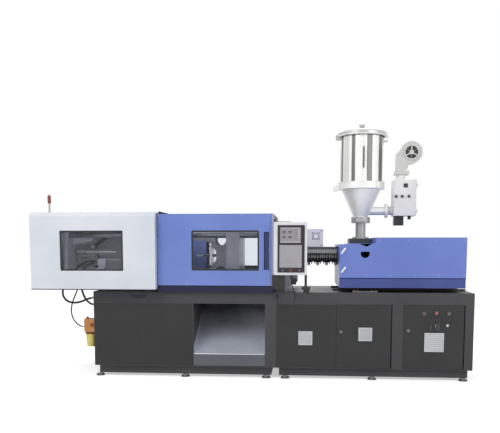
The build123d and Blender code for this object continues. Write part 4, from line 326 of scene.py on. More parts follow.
def metal(name, colour, shade, roughness=0.3, stretch=(1, 1, 12), streaks=0.5, metallic=1.0, edge=0.3,
          dust=0.05,
          bump=0.08, width=0.002, bands=0.0, band_stretch=(9, 9, 0.1)):
    """Bare metal with its working marks."""
    material, tree, shader = new_material(name)
    worked = surface_group(tree, WORKED_METAL, {
        "Colour": linear(colour), "Shade": linear(shade), "Stretch": stretch, "Streaks": streaks,
        "Reflection Bands": bands,
        "Band Stretch": band_stretch, "Roughness": roughness,
    })
    light = tuple(min(255, value + 40) for value in colour)
    finish_surface(tree, shader, worked, light, edge, width, dust, bump, 0.0003)
    shader.inputs["Metallic"].default_value = metallic
    return material


def shaded_sheet(name, colour, shade, dark, low, high):
    """Bare sheet of the chute, darker higher up with painted shade."""
    material, tree, shader = new_material(name)
    worked = surface_group(tree, WORKED_METAL, {
        "Colour": linear(colour), "Shade": linear(shade), "Stretch": (14, 1, 1), "Roughness": 0.46,
    })
    place = own_place(tree)
    height = put(tree, "ShaderNodeSeparateXYZ", {0: place}).outputs["Z"]
    uneven = remap(tree, noise(tree, place, 5.0, 4.0), 0.3, 0.7, -0.1, 0.1)
    # Painted shade: the sheet darkens from the low height to the high one, a little unevenly
    film = maths(tree, "ADD", remap(tree, height, low, high), uneven)
    shaded_colour = blend_colours(tree, remap(tree, film, 0, 1), worked["Colour"], linear(dark))
    surface = {"Colour": shaded_colour, "Roughness": worked["Roughness"], "Height": worked["Height"]}
    finish_surface(tree, shader, surface, colour, 0.3, 0.002, 0.03, 0.08, 0.0003)
    shader.inputs["Metallic"].default_value = 0.45
    return material


def drum_metal_painted_reflections(name, colour, dark):
    """Polished sheet of the drum with tall stripes of painted reflection."""
    material, tree, shader = new_material(name)
    worked = surface_group(tree, WORKED_METAL, {
        "Colour": linear(colour), "Shade": linear((214, 214, 211)), "Stretch": (8, 8, 1), "Streaks": 0.3,
        "Roughness": 0.26,
    })
    stripes = surface_group(tree, DRUM_REFLECTION_GROUP, {"Centre": (*HOPPER_AXIS, 0)})
    reflected_colour = blend_colours(tree, stripes["Mask"], worked["Colour"], linear(dark))
    surface = {"Colour": reflected_colour, "Roughness": worked["Roughness"], "Height": worked["Height"]}
    finish_surface(tree, shader, surface, colour, 0.3, 0.002, 0.02, 0.05, 0.0003)
    shader.inputs["Metallic"].default_value = 0.7
    return material


def clear_sheet(name, colour, roughness=0.03, weight=1.0, ior=1.3):
    """Clear moulded sheet with faint smears."""
    material, tree, shader = new_material(name)
    smear = remap(tree, noise(tree, own_place(tree), 9.0, 4.0), 0.4, 0.8, roughness, roughness + 0.05)
    tree.links.new(smear, shader.inputs["Roughness"])
    shader.inputs["Base Color"].default_value = linear(colour)
    shader.inputs["Transmission Weight"].default_value = weight
    shader.inputs["IOR"].default_value = ior
    return material


# Finishes of the machine
cover_white = painted("Cover white enamel", COVER_WHITE, COVER_SHADE, 0.34, dust=0.04, edge=0.4)
# The cover's inner paint is near white as painted light, to make up for the closed cover's shade
cover_lining_painted_light = painted("Cover inner paint, painted light", (240, 240, 246), (226, 226, 234), 0.6, edge=0.05, dust=0.05,
                       bump=0.2)
gate_blue = painted("Gate blue enamel", GATE_BLUE, GATE_DEEP, 0.36, dust=0.06, edge=0.35)
pull_navy = painted("Pull tray navy", PULL_NAVY, (42, 52, 96), 0.42, dust=0.05)
injection_blue = painted("Injection blue enamel", INJECTION_BLUE, GATE_DEEP, 0.36, dust=0.08, edge=0.3)
# Darker copy of the injection blue: painted shade on the stepped-in skirt
skirt_blue_painted_shade = painted("Skirt blue enamel, painted shade", SKIRT_SHADED_BLUE, (54, 68, 132), 0.4, dust=0.08, edge=0.2)
base_grey = painted("Base grey texture paint", BASE_GREY, (66, 66, 68), 0.5, dust=0.06, grain=260.0,
                    bump=0.3, sheen=0.25)
panel_dark = painted("Base panel paint", BASE_DARK, (56, 56, 57), 0.48, dust=0.04, grain=300.0, bump=0.25,
                     sheen=0.25)
foot_steel = metal("Foot zinc plate", (96, 96, 96), (70, 70, 70), 0.45, metallic=0.8)
# The chute sheet's darkening higher up is painted shade
chute_steel = shaded_sheet("Chute stainless sheet", (206, 212, 226), (168, 173, 186), (102, 102, 106), 0.36,
                         0.68)
# The lip face's darker copy of the chute sheet is painted shade
chute_lip_painted_shade = metal("Chute lip sheet, painted shade", (96, 100, 106), (74, 78, 84), 0.5, stretch=(14, 1, 1), metallic=0.5)
motor_grey = painted("Motor grey paint", (112, 116, 122), (96, 100, 106), 0.5, dust=0.3)
switchgear_grey = painted("Switchgear plastic", (186, 186, 182), (160, 160, 156), 0.5)
rail_navy = painted("Rail navy paint", RAIL_NAVY, (22, 24, 48), 0.45, dust=0.06, sheen=0.3)
post_blue = painted("Light post blue grey", POST_BLUE, (140, 148, 176), 0.4, dust=0.05)
stand_black = painted("Stand black paint", BLACK, (38, 38, 42), 0.45, dust=0.1)
platen_grey = painted("Casting lilac grey enamel", PLATEN_GREY, (158, 156, 168), 0.4, dust=0.1, grain=160.0,
                      bump=0.35)
# The tail platen's near-white enamel is painted light against the closed cover's shade
tail_platen_painted_light = painted("Tail platen enamel, painted light", (240, 238, 248), (222, 220, 232), 0.4, dust=0.06,
                      grain=160.0, bump=0.35)
machined_steel = metal("Machined face", (184, 184, 188), (146, 146, 152), 0.36, stretch=(1, 12, 1),
                       metallic=0.9)
link_dark = painted("Link dark enamel", LINK_DARK, (46, 46, 38), 0.42, dust=0.08, grain=160.0, bump=0.35)
bar_oiled = metal("Oiled tie bar", (140, 142, 150), (110, 112, 120), 0.28, stretch=(1, 30, 30), streaks=0.4,
                  metallic=0.6)
rod_chrome = metal("Hard chrome rod", (246, 246, 250), (220, 222, 228), 0.22, stretch=(1, 30, 30),
                   streaks=0.2,
                   metallic=0.4)
cylinder_grey = painted("Cylinder enamel", (112, 116, 124), (94, 98, 106), 0.4, dust=0.15)
# The ejector rod's near-white plating is painted light, to show bright in the shaded mould space
ejector_rod_painted_light = painted("Ejector rod plating, painted light", (252, 252, 252), (244, 244, 244), 0.25, dust=0.0,
                     edge=0.0, bump=0.02, coat=0.6)
crosshead_steel = metal("Ground steel", (190, 190, 188), (150, 150, 150), 0.34, metallic=0.5)
# The pins' near-white steel is painted light, to show in the shaded clamp space
pin_steel_painted_light = metal("Pin steel, painted light", (248, 244, 226), (226, 220, 198), 0.4, stretch=(1, 1, 1), metallic=0.25)
pane_clear = clear_sheet("Window polycarbonate", (238, 242, 246))
alarm_red = painted("Alarm lens dark red", (128, 30, 40), (104, 22, 30), 0.2, coat=0.6, bump=0.02)
alarm_stem = painted("Alarm stem grey", (200, 192, 190), (184, 178, 176), 0.35, dust=0.05)
panel_white = painted("Panel housing white", (228, 229, 233), (214, 215, 220), 0.42, edge=0.2)
fascia_black = painted("Fascia black film", BLACK, (38, 36, 42), 0.3, edge=0.1, dust=0.05)
keypad_grey = painted("Keypad film grey", KEY_GREY, (162, 160, 166), 0.45, edge=0.3, grain=900.0)
key_mark = painted("Key mark print", (104, 102, 110), (90, 88, 96), 0.5, edge=0.0, dust=0.03)
key_green = painted("Key mark green", (96, 132, 104), (84, 118, 92), 0.5, edge=0.0, dust=0.03)
display_glass = painted("Display glass", (150, 145, 151), (142, 137, 144), 0.2, edge=0.0, dust=0.03,
                        grain=1500.0, coat=0.8)
display_dark = painted("Display dark field", (84, 78, 88), (96, 90, 98), 0.3, edge=0.0, dust=0.02,
                       grain=1500.0)
display_light = painted("Display light field", (182, 177, 184), (172, 168, 176), 0.3, edge=0.0, dust=0.02,
                        grain=1500.0)
socket_grey = painted("Socket cover grey", (96, 92, 98), (84, 80, 86), 0.5, dust=0.1)
stop_red = painted("Stop button red", STOP_RED, (92, 14, 20), 0.3, coat=0.4)
lub_orange = painted("Lubricator cast orange", LUB_ORANGE, (178, 110, 48), 0.4, dust=0.1, bump=0.3,
                     grain=200.0)
lub_rim = painted("Lubricator rim brown", (96, 60, 22), (78, 48, 18), 0.4, dust=0.1)
lub_red = painted("Lubricator knob red", (136, 32, 20), (112, 24, 16), 0.3, coat=0.3)
tank_yellow = painted("Reservoir yellow plastic", LUB_YELLOW, (206, 190, 92), 0.3, coat=0.4, dust=0.05,
                      bump=0.05)
hose_black = painted("Hose rubber", (26, 26, 28), (40, 40, 42), 0.55, dust=0.15, edge=0.1, grain=700.0)
cable_black = painted("Cable sheath", (20, 20, 22), (34, 34, 36), 0.5, dust=0.1, edge=0.1, grain=900.0)
vent_white = painted("Vent moulded white", VENT_WHITE, (192, 194, 198), 0.45, dust=0.1, edge=0.25)
switch_plate = painted("Switch plate", (60, 60, 62), (50, 50, 52), 0.4)
knob_dark = painted("Knob dark plastic", (36, 36, 38), (52, 52, 54), 0.38, edge=0.3)
lens_clear = painted("Lens clear white", (222, 222, 220), (204, 204, 202), 0.15, coat=0.8, edge=0.1,
                     bump=0.02)
level_glass = painted("Level window plastic", (226, 214, 132), (210, 196, 112), 0.2, coat=0.6, edge=0.1,
                      bump=0.02)
lens_dull_red = painted("Lens dull red", (108, 66, 66), (92, 54, 54), 0.3, coat=0.3, edge=0.1, bump=0.02)
lens_red = painted("Lens red", (176, 66, 66), (150, 48, 50), 0.15, coat=0.8, edge=0.1, bump=0.02)
lens_grey = painted("Lens smoke", (104, 102, 102), (90, 88, 88), 0.3, coat=0.3, edge=0.1, bump=0.02)
lock_grey = metal("Lock dull zinc", (120, 120, 122), (92, 92, 94), 0.42, stretch=(1, 1, 1), metallic=0.6)
carriage_grey = painted("Carriage casting paint", (56, 62, 70), (46, 52, 60), 0.45, dust=0.1, grain=180.0,
                        bump=0.35)
barrel_steel = metal("Barrel nitrided steel", (150, 150, 150), (96, 94, 92), 0.34, stretch=(1, 20, 20),
                     streaks=0.6)
band_black = painted("Heater band mica black", BAND_BLACK, (60, 60, 58), 0.4, edge=0.5, grain=300.0)
ceramic = painted("Terminal ceramic", (206, 200, 190), (190, 184, 172), 0.35)
screw_steel = metal("Screw hard steel", (170, 170, 172), (120, 120, 124), 0.22)
guard_sheet = painted("Guard lilac sheet", GUARD_LILAC, (196, 194, 212), 0.4, edge=0.3)
guard_lens = painted("Guard lens white", (238, 236, 246), (226, 224, 238), 0.2, coat=0.6, edge=0.0, bump=0.02)
ring_grey = painted("Guard ring grey", (168, 166, 178), (150, 148, 162), 0.35)
duct_grey = painted("Wiring duct grey", (170, 170, 172), (154, 154, 156), 0.5)
bar_dark = painted("Guard bar dark paint", (84, 84, 88), (70, 70, 74), 0.45)
# The hopper drum's stripes are painted reflections
hopper_steel = drum_metal_painted_reflections("Hopper polished sheet", DRUM_REFLECTION_BRIGHT, DRUM_REFLECTION_DARK)
cone_steel = metal("Hopper cone sheet", (240, 240, 238), (218, 218, 216), 0.46, stretch=(8, 8, 1),
                   streaks=0.3, metallic=0.45)
lid_steel = metal("Hopper lid sheet", (196, 196, 195), (178, 178, 176), 0.34, stretch=(8, 8, 1), streaks=0.3,
                  metallic=0.7)
# The neck's broad bands are painted reflection
neck_steel = metal("Neck turned steel", (172, 172, 170), (140, 140, 138), 0.34, stretch=(1, 1, 20),
                   bands=0.3, metallic=0.7)
dryer_white = painted("Dryer box enamel", DRYER_WHITE, (214, 212, 213), 0.42, dust=0.04, edge=0.25)
blower_grey = painted("Blower cast enamel", BLOWER_GREY, (190, 190, 188), 0.4, dust=0.08, edge=0.25,
                      bump=0.3, grain=200.0)
impeller_dark = painted("Impeller dark sheet", (66, 66, 66), (52, 52, 52), 0.5)
black_rubber = painted("Window rubber", (24, 24, 26), (36, 36, 38), 0.6, dust=0.1, edge=0.1, grain=600.0)
zinc = metal("Fastener zinc", (186, 186, 188), (136, 136, 140), 0.3, stretch=(1, 1, 1))
zinc_black = metal("Fastener black oxide", (62, 62, 64), (44, 44, 46), 0.4, stretch=(1, 1, 1), metallic=0.8)
# The latch levers' near-white zinc is a painted highlight
latch_zinc_painted_highlight = metal("Latch zinc, painted highlight", (250, 250, 250), (232, 232, 232), 0.4, stretch=(1, 1, 1),
                    metallic=0.3)
chrome = metal("Bezel chrome", (216, 216, 218), (176, 176, 180), 0.14, stretch=(1, 1, 1))
brass = metal("Fitting brass", (198, 164, 96), (152, 120, 62), 0.3, stretch=(1, 1, 1))

NODE_FINISH = {
    "base_frame": base_grey, "base_panels": panel_dark, "levelling_feet": foot_steel,
    "product_chute": chute_steel, "pump_motor": motor_grey, "switchgear": switchgear_grey,
    # The tail platen's near-white enamel is painted light
    "gate_frame": rail_navy, "tail_platen": tail_platen_painted_light, "fixed_platen": platen_grey, "tie_bars": bar_oiled,
    "clamp_cylinder": rod_chrome, "clamp_cover": cover_white, "clamp_cover_window": pane_clear,
    "alarm_light": alarm_red, "panel_housing": panel_white, "panel_fascia": fascia_black,
    "panel_keypad": keypad_grey, "emergency_stop": stop_red, "lubricator": lub_orange,
    "lubricator_tank": tank_yellow, "rear_links_upper": link_dark, "rear_links_lower": link_dark,
    "front_links_upper": link_dark, "front_links_lower": link_dark, "crosshead_link_upper": link_dark,
    "crosshead_link_lower": link_dark, "crosshead": crosshead_steel, "moving_platen": platen_grey,
    "ejector_cylinder": cylinder_grey, "ejector_plate": rod_chrome, "front_gate": gate_blue,
    "front_gate_window": pane_clear, "rear_gate": gate_blue, "rear_gate_window": pane_clear,
    "cabinet_door_middle": panel_dark, "cabinet_door_right": panel_dark, "filter_left": vent_white,
    "filter_middle": vent_white, "filter_right": vent_white, "main_switch": knob_dark,
    "indicator_lamps": switch_plate, "carriage": carriage_grey, "barrel": barrel_steel,
    "heater_bands": band_black, "screw": screw_steel, "injection_drive": cylinder_grey,
    "injection_cover": injection_blue, "guard_bars": bar_dark, "purge_guard": guard_sheet,
    "hopper_body": hopper_steel, "hopper_gate": zinc, "hopper_lid": lid_steel, "dryer_box": dryer_white,
    "dryer_door": dryer_white, "blower_housing": blower_grey, "blower_impeller": impeller_dark,
}
SOFT_EDGE = {
    "base_frame": 0.002, "base_panels": 0.0008, "clamp_cover": 0.003, "front_gate": 0.002, "rear_gate": 0.002,
    "cabinet_door_middle": 0.002, "cabinet_door_right": 0.002, "injection_cover": 0.003, "tail_platen": 0.004,
    "fixed_platen": 0.004, "moving_platen": 0.003, "gate_frame": 0.0015, "carriage": 0.003,
    "purge_guard": 0.0015, "dryer_box": 0.002, "dryer_door": 0.0012, "panel_fascia": 0.001,
    "lubricator": 0.004, "indicator_lamps": 0.001, "main_switch": 0.002, "emergency_stop": 0.002,
    "crosshead": 0.002, "front_links_upper": 0.002, "front_links_lower": 0.002, "rear_links_upper": 0.002,
    "rear_links_lower": 0.002, "crosshead_link_upper": 0.002, "crosshead_link_lower": 0.002,
    "tie_bars": 0.003, "blower_housing": 0.002, "levelling_feet": 0.002, "product_chute": 0.0015,
    "guard_bars": 0.001, "heater_bands": 0.001, "pump_motor": 0.003, "switchgear": 0.001,
}


def split_finish(name, material, chosen):
    """Second finish on the faces of a frame node that pass a test of their middle and their normal."""
    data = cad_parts[name].data
    data.materials.append(material)
    index = len(data.materials) - 1
    for face in data.polygons:
        if chosen(face.center, face.normal):
            face.material_index = index


def dress_nodes():
    """Each frame node gets its finish, and the ones with hard edges a small rounded edge."""
    for name, material in NODE_FINISH.items():
        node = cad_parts[name]
        node.data.materials.clear()
        node.data.materials.append(material)
        if name in SOFT_EDGE:
            weld = node.modifiers.new("Joined seams", "WELD")
            weld.merge_threshold = 0.00002
            soften(node, SOFT_EDGE[name])


def soften(piece, width):
    """Small rounded edges on the hard corners of a piece."""
    bevel = piece.modifiers.new("Soft edge", "BEVEL")
    bevel.width = width
    bevel.segments = 2
    bevel.limit_method = "ANGLE"
    bevel.angle_limit = radians(40)
    bevel.harden_normals = True


# Places where two finishes of one node meet
COVER_MIDDLE = Vector((-1.93, 0, 1.33))
LIP_FACE = -0.545
LIP_EDGE = 0.245
PULL_EDGES = (-0.1625, -0.1075, 1.1395, 1.5265)
POST_LEFT = -0.0865
POST_RIGHT = -0.0615
POST_FOOT = 0.976
POST_FACE = 0.519
STAND_LEFT = -0.0618
STAND_FACE = -0.5998
STAND_LOW = 0.906
STAND_TOP = 1.0875
CYLINDER_FRONT = -2.3
ROD_CLEAR = 0.07
EJECTOR_ROD_END = -0.792
STEM_TOP = 1.829
LUB_BODY = (0.4702, 0.6105)
SKIRT_TOP = 1.0575
NECK_TOP = 1.6925
CONE_TOP = 2.068
PIN_OFFSET = 0.32
PIN_RADIUS = 0.032
PIN_END = 0.159
LINK_PIN_END = 0.158
CROSSHEAD_PIN_END = 0.05
JUNCTION_BOX = (1.21, 1.7048)
KNOB_SEAT = (1.43, -0.1245)
# Share of a normal along an axis from which a face counts as square to it
SQUARE = 0.9


def in_pull(c, n):
    """Faces of a gate's recessed pull."""
    left, right, low, top = PULL_EDGES
    return left < c.x < right and low < c.z < top


def on_post(c, n):
    """Faces of the light posts beside the gates."""
    return POST_LEFT < c.x < POST_RIGHT and c.z > POST_FOOT and abs(c.y) > POST_FACE


def on_stand(c, n):
    """Faces of the control panel's stand."""
    beside = c.x > STAND_LEFT or c.y < STAND_FACE
    return c.y < -0.5 and STAND_LOW < c.z < STAND_TOP and beside


def on_cylinder(c, n):
    """Faces of the clamp cylinder outside its rod."""
    return c.x < CYLINDER_FRONT and Vector((c.y, c.z - AXIS_Z)).length > ROD_CLEAR


def on_pin_end(c, n):
    """End faces of the toggle pins in a platen's ears."""
    beside = abs(abs(c.z - AXIS_Z) - PIN_OFFSET) < PIN_RADIUS
    return abs(n.y) > SQUARE and abs(c.y) > PIN_END and beside


def on_link_pin(c, n):
    """End faces of the knee pins in the rear links."""
    return abs(n.y) > SQUARE and abs(c.y) > LINK_PIN_END


SECOND_FINISHES = (
    # Inner faces of the cover: near-white paint as painted light against the cover's shade
    ("clamp_cover", cover_lining_painted_light, lambda c, n: n.dot(c - COVER_MIDDLE) < 0),
    # Darker lip face: painted shade
    ("product_chute", chute_lip_painted_shade, lambda c, n: c.y < LIP_FACE and c.z < LIP_EDGE),
    ("front_gate", pull_navy, in_pull),
    ("rear_gate", pull_navy, in_pull),
    ("gate_frame", post_blue, on_post),
    ("gate_frame", stand_black, on_stand),
    ("clamp_cylinder", cylinder_grey, on_cylinder),
    # Ejector rod: near-white finish as painted light
    ("ejector_plate", ejector_rod_painted_light, lambda c, n: c.x < EJECTOR_ROD_END),
    ("alarm_light", alarm_stem, lambda c, n: c.z < STEM_TOP),
    ("lubricator", lub_rim, lambda c, n: c.z < LUB_BODY[0]),
    ("lubricator", lub_red, lambda c, n: c.z > LUB_BODY[1]),
    # Stepped-in skirt: darker blue as painted shade
    ("injection_cover", skirt_blue_painted_shade, lambda c, n: c.z < SKIRT_TOP and abs(n.x) < 0.5),
    ("hopper_body", cone_steel, lambda c, n: NECK_TOP < c.z < CONE_TOP),
    ("hopper_body", neck_steel, lambda c, n: c.z < NECK_TOP),
    ("dryer_box", stand_black, lambda c, n: c.z < JUNCTION_BOX[1] and c.x > JUNCTION_BOX[0]),
    ("dryer_door", knob_dark, lambda c, n: c.y < KNOB_SEAT[1] and c.x < KNOB_SEAT[0]),
    ("fixed_platen", machined_steel, lambda c, n: abs(n.x) > SQUARE),
    ("moving_platen", machined_steel, lambda c, n: abs(n.x) > SQUARE),
    # Pin ends: near-white steel as painted light
    ("tail_platen", pin_steel_painted_light, on_pin_end),
    ("moving_platen", pin_steel_painted_light, on_pin_end),
    ("rear_links_upper", pin_steel_painted_light, on_link_pin),
    ("rear_links_lower", pin_steel_painted_light, on_link_pin),
    ("crosshead", pin_steel_painted_light, lambda c, n: abs(n.y) > SQUARE and abs(c.y) > CROSSHEAD_PIN_END),
)


def across(axis):
    """Two directions square to an axis."""
    side = X if abs(axis.z) > 0.7 else Z
    first = axis.cross(side).normalized()
    return first, axis.cross(first).normalized()


def lathe(mesh, profile, origin, axis, sides=24, turn=0.0, loop=False):
    """Turned form from (radius, height) points; a radius of 0 closes an end, and a loop closes on itself."""
    origin = Vector(origin)
    axis = Vector(axis).normalized()
    first, second = across(axis)
    rows = []
    for radius, height in profile:
        centre = origin + axis * height
        if radius < 1e-6:
            rows.append([mesh.verts.new(centre)])
            continue
        angles = [turn + index * 2 * pi / sides for index in range(sides)]
        rows.append([mesh.verts.new(centre + radius * (cos(a) * first + sin(a) * second)) for a in angles])
    if loop:
        rows.append(rows[0])
    for low, high in zip(rows, rows[1:]):
        for index in range(sides):
            after = (index + 1) % sides
            corners = [low[index % len(low)], low[after % len(low)], high[after % len(high)],
                       high[index % len(high)]]
            corners = list(dict.fromkeys(corners))
            if len(corners) > 2:
                mesh.faces.new(corners)


def block(mesh, x0, x1, y0, y1, z0, z1):
    """Straight block between six faces."""
    corners = [mesh.verts.new((x, y, z)) for x in (x0, x1) for y in (y0, y1) for z in (z0, z1)]
    for face in ((0, 1, 3, 2), (4, 6, 7, 5), (0, 4, 5, 1), (2, 3, 7, 6), (0, 2, 6, 4), (1, 5, 7, 3)):
        mesh.faces.new([corners[index] for index in face])


def rounded_outline(x0, x1, z0, z1, radius, steps=5):
    """Corner points of a rounded rectangle, going round once."""
    points = []
    for cx, cz, start in ((x1 - radius, z1 - radius, 0), (x0 + radius, z1 - radius, 90),
                          (x0 + radius, z0 + radius, 180), (x1 - radius, z0 + radius, 270)):
        for step in range(steps + 1):
            angle = radians(start + 90 * step / steps)
            points.append((cx + radius * cos(angle), cz + radius * sin(angle)))
    return points


def loft_rings(mesh, rings, close_ends=True):
    """Skin over rings of points with the same count."""
    rows = [[mesh.verts.new(point) for point in ring] for ring in rings]
    count = len(rows[0])
    pairs = list(zip(rows, rows[1:]))
    if not close_ends:
        pairs.append((rows[-1], rows[0]))
    for low, high in pairs:
        for index in range(count):
            after = (index + 1) % count
            mesh.faces.new((low[index], low[after], high[after], high[index]))
    if close_ends:
        mesh.faces.new(rows[0])
        mesh.faces.new(rows[-1][::-1])


def plate(mesh, outline, far, near, bevel=0.0005):
    """Flat plate in the side view from its back face to its front face, with a bevelled front edge."""
    xs = [x for x, z in outline]
    zs = [z for x, z in outline]
    middle_x, middle_z = (min(xs) + max(xs)) / 2, (min(zs) + max(zs)) / 2
    share_x = 1 - 2 * bevel / (max(xs) - min(xs))
    share_z = 1 - 2 * bevel / (max(zs) - min(zs))
    step = bevel if near < far else -bevel
    rings = [[(x, far, z) for x, z in outline], [(x, near + step, z) for x, z in outline]]
    rings.append([
        (middle_x + (x - middle_x) * share_x, near, middle_z + (z - middle_z) * share_z) for x, z in outline
    ])
    loft_rings(mesh, rings)


def make_piece(name, mesh, material, body, soft=0.0, angle=35.0):
    """The gathered faces as one piece that rides on a body."""
    bmesh.ops.recalc_face_normals(mesh, faces=mesh.faces)
    data = bpy.data.meshes.new(name)
    mesh.to_mesh(data)
    mesh.free()
    data.polygons.foreach_set("use_smooth", [True] * len(data.polygons))
    data.set_sharp_from_angle(angle=radians(angle))
    data.materials.append(material)
    piece = bpy.data.objects.new(name, data)
    bpy.context.scene.collection.objects.link(piece)
    if soft:
        soften(piece, soft)
    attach(piece, body)
    return piece


def button_heads(mesh, places, axis, radius):
    """Domed screw heads with a socket."""
    tall = radius * 0.55
    sink = radius * 0.1
    profile = [
        (0, -sink), (radius, -sink), (radius, tall * 0.35), (radius * 0.8, tall * 0.8), (radius * 0.5, tall),
        (radius * 0.42, tall), (radius * 0.42, tall * 0.4), (0, tall * 0.4),
    ]
    for place in places:
        lathe(mesh, profile, place, axis, sides=12)


def hexagon_heads(mesh, places, axis, radius):
    """Hexagon heads on washers."""
    washer = radius * 0.16
    tall = radius * 0.9
    for place in places:
        ring = [(0, -washer / 2), (radius * 1.25, -washer / 2), (radius * 1.25, washer), (0, washer)]
        lathe(mesh, ring, place, axis, sides=20)
        head = [(0, washer / 2), (radius, washer / 2), (radius, tall * 0.88), (radius * 0.86, tall),
                (0, tall)]
        lathe(mesh, head, place, axis, sides=6)


def fasteners(name, places, axis, radius, body, material=zinc, kind=button_heads):
    """A set of like screws or bolts as one piece."""
    mesh = bmesh.new()
    kind(mesh, places, axis, radius)
    return make_piece(name, mesh, material, body)


def turned_piece(name, profile, places, axis, material, body, sides=24, loop=False):
    """The same turned form at each place, as one piece."""
    mesh = bmesh.new()
    for place in places:
        lathe(mesh, profile, place, axis, sides=sides, loop=loop)
    return make_piece(name, mesh, material, body)


def plate_piece(name, edges, radius, faces, material, body, bevel=0.0005, steps=3):
    """Rounded plate as one piece; its edges are x0, x1, z0 and z1, its faces the back and the front."""
    mesh = bmesh.new()
    plate(mesh, rounded_outline(*edges, radius, steps), *faces, bevel)
    return make_piece(name, mesh, material, body)


def line_of(start, end, count):
    """Evenly spaced points from one place to another."""
    first, last = Vector(start), Vector(end)
    return [first.lerp(last, index / (count - 1)) for index in range(count)]


def rim_places(x0, x1, z0, z1, y, inset, along, up):
    """Screw places round the edge of an upright plate."""
    left, right, low, top = x0 + inset, x1 - inset, z0 + inset, z1 - inset
    places = line_of((left, y, low), (right, y, low), along) + line_of((left, y, top), (right, y, top), along)
    if up > 2:
        places += line_of((left, y, low), (left, y, top), up)[1:-1] + line_of((right, y, low),
                                                                              (right, y, top), up)[1:-1]
    return places


def circle_places(centre, axis, radius, count, turn=0.0):
    """Evenly spaced places on a circle about an axis."""
    first, second = across(Vector(axis).normalized())
    angles = [turn + index * 2 * pi / count for index in range(count)]
    return [Vector(centre) + radius * (cos(a) * first + sin(a) * second) for a in angles]


FRONT = (0, -1, 0)
REAR = (0, 1, 0)
UP = (0, 0, 1)
DOWN = (0, 0, -1)
LEFT = (-1, 0, 0)
RIGHT = (1, 0, 0)

# Cords: the routes of the frame's tubes, in metres
HOSE_LONG = [
    (-2.030, -0.183, 1.217), (-2.098, -0.183, 1.217), (-2.164, -0.196, 1.204), (-2.220, -0.230, 1.172),
    (-2.262, -0.282, 1.122), (-2.298, -0.332, 1.060), (-2.334, -0.370, 0.996), (-2.360, -0.398, 0.926),
    (-2.362, -0.414, 0.860), (-2.332, -0.426, 0.806), (-2.278, -0.436, 0.776), (-2.212, -0.444, 0.770),
    (-2.148, -0.450, 0.782), (-2.090, -0.454, 0.806), (-2.040, -0.455, 0.826), (-1.990, -0.455, 0.826),
]
HOSE_SHORT = [
    (-2.030, -0.183, 1.187), (-2.078, -0.183, 1.187), (-2.128, -0.194, 1.179), (-2.168, -0.224, 1.154),
    (-2.186, -0.276, 1.108), (-2.184, -0.330, 1.048), (-2.170, -0.372, 0.982), (-2.152, -0.396, 0.914),
    (-2.134, -0.404, 0.856), (-2.106, -0.408, 0.806), (-2.070, -0.408, 0.768), (-2.030, -0.408, 0.750),
    (-1.990, -0.408, 0.750),
]
HOSE_LUBRICATOR = [
    (-2.304, -0.290, 1.000), (-2.268, -0.290, 1.000), (-2.236, -0.300, 0.994), (-2.212, -0.324, 0.974),
    (-2.203, -0.358, 0.940), (-2.207, -0.400, 0.892), (-2.218, -0.436, 0.842), (-2.232, -0.470, 0.784),
    (-2.240, -0.490, 0.720), (-2.236, -0.500, 0.652), (-2.214, -0.500, 0.592), (-2.176, -0.500, 0.548),
    (-2.130, -0.500, 0.520), (-2.082, -0.500, 0.520),
]
PANEL_CABLE = [
    (0.118, -0.608, 1.087), (0.118, -0.608, 1.036), (0.128, -0.615, 0.984), (0.146, -0.624, 0.928),
    (0.160, -0.632, 0.870), (0.160, -0.638, 0.812), (0.136, -0.642, 0.764), (0.092, -0.645, 0.740),
    (0.042, -0.648, 0.744), (0.004, -0.651, 0.772), (-0.017, -0.652, 0.814), (-0.024, -0.640, 0.850),
    (-0.024, -0.612, 0.872), (-0.024, -0.570, 0.872),
]
HOSE_DIAMETER = 0.022
LUB_HOSE_DIAMETER = 0.014
CABLE_DIAMETER = 0.012


def make_cord(name, route, diameter, material):
    """Hose or cable along its route; it goes back into the machine at its far end."""
    curve = bpy.data.curves.new(name, "CURVE")
    curve.dimensions = "3D"
    curve.bevel_depth = diameter / 2
    curve.bevel_resolution = 4
    curve.resolution_u = 8
    spline = curve.splines.new("NURBS")
    spline.points.add(len(route) - 1)
    for point, place in zip(spline.points, route):
        point.co = (*place, 1.0)
    spline.order_u = 3
    spline.use_endpoint_u = True
    curve.materials.append(material)
    cord = bpy.data.objects.new(f"{name}_flex", curve)
    bpy.context.scene.collection.objects.link(cord)
    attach(cord, "root")
    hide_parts(name)


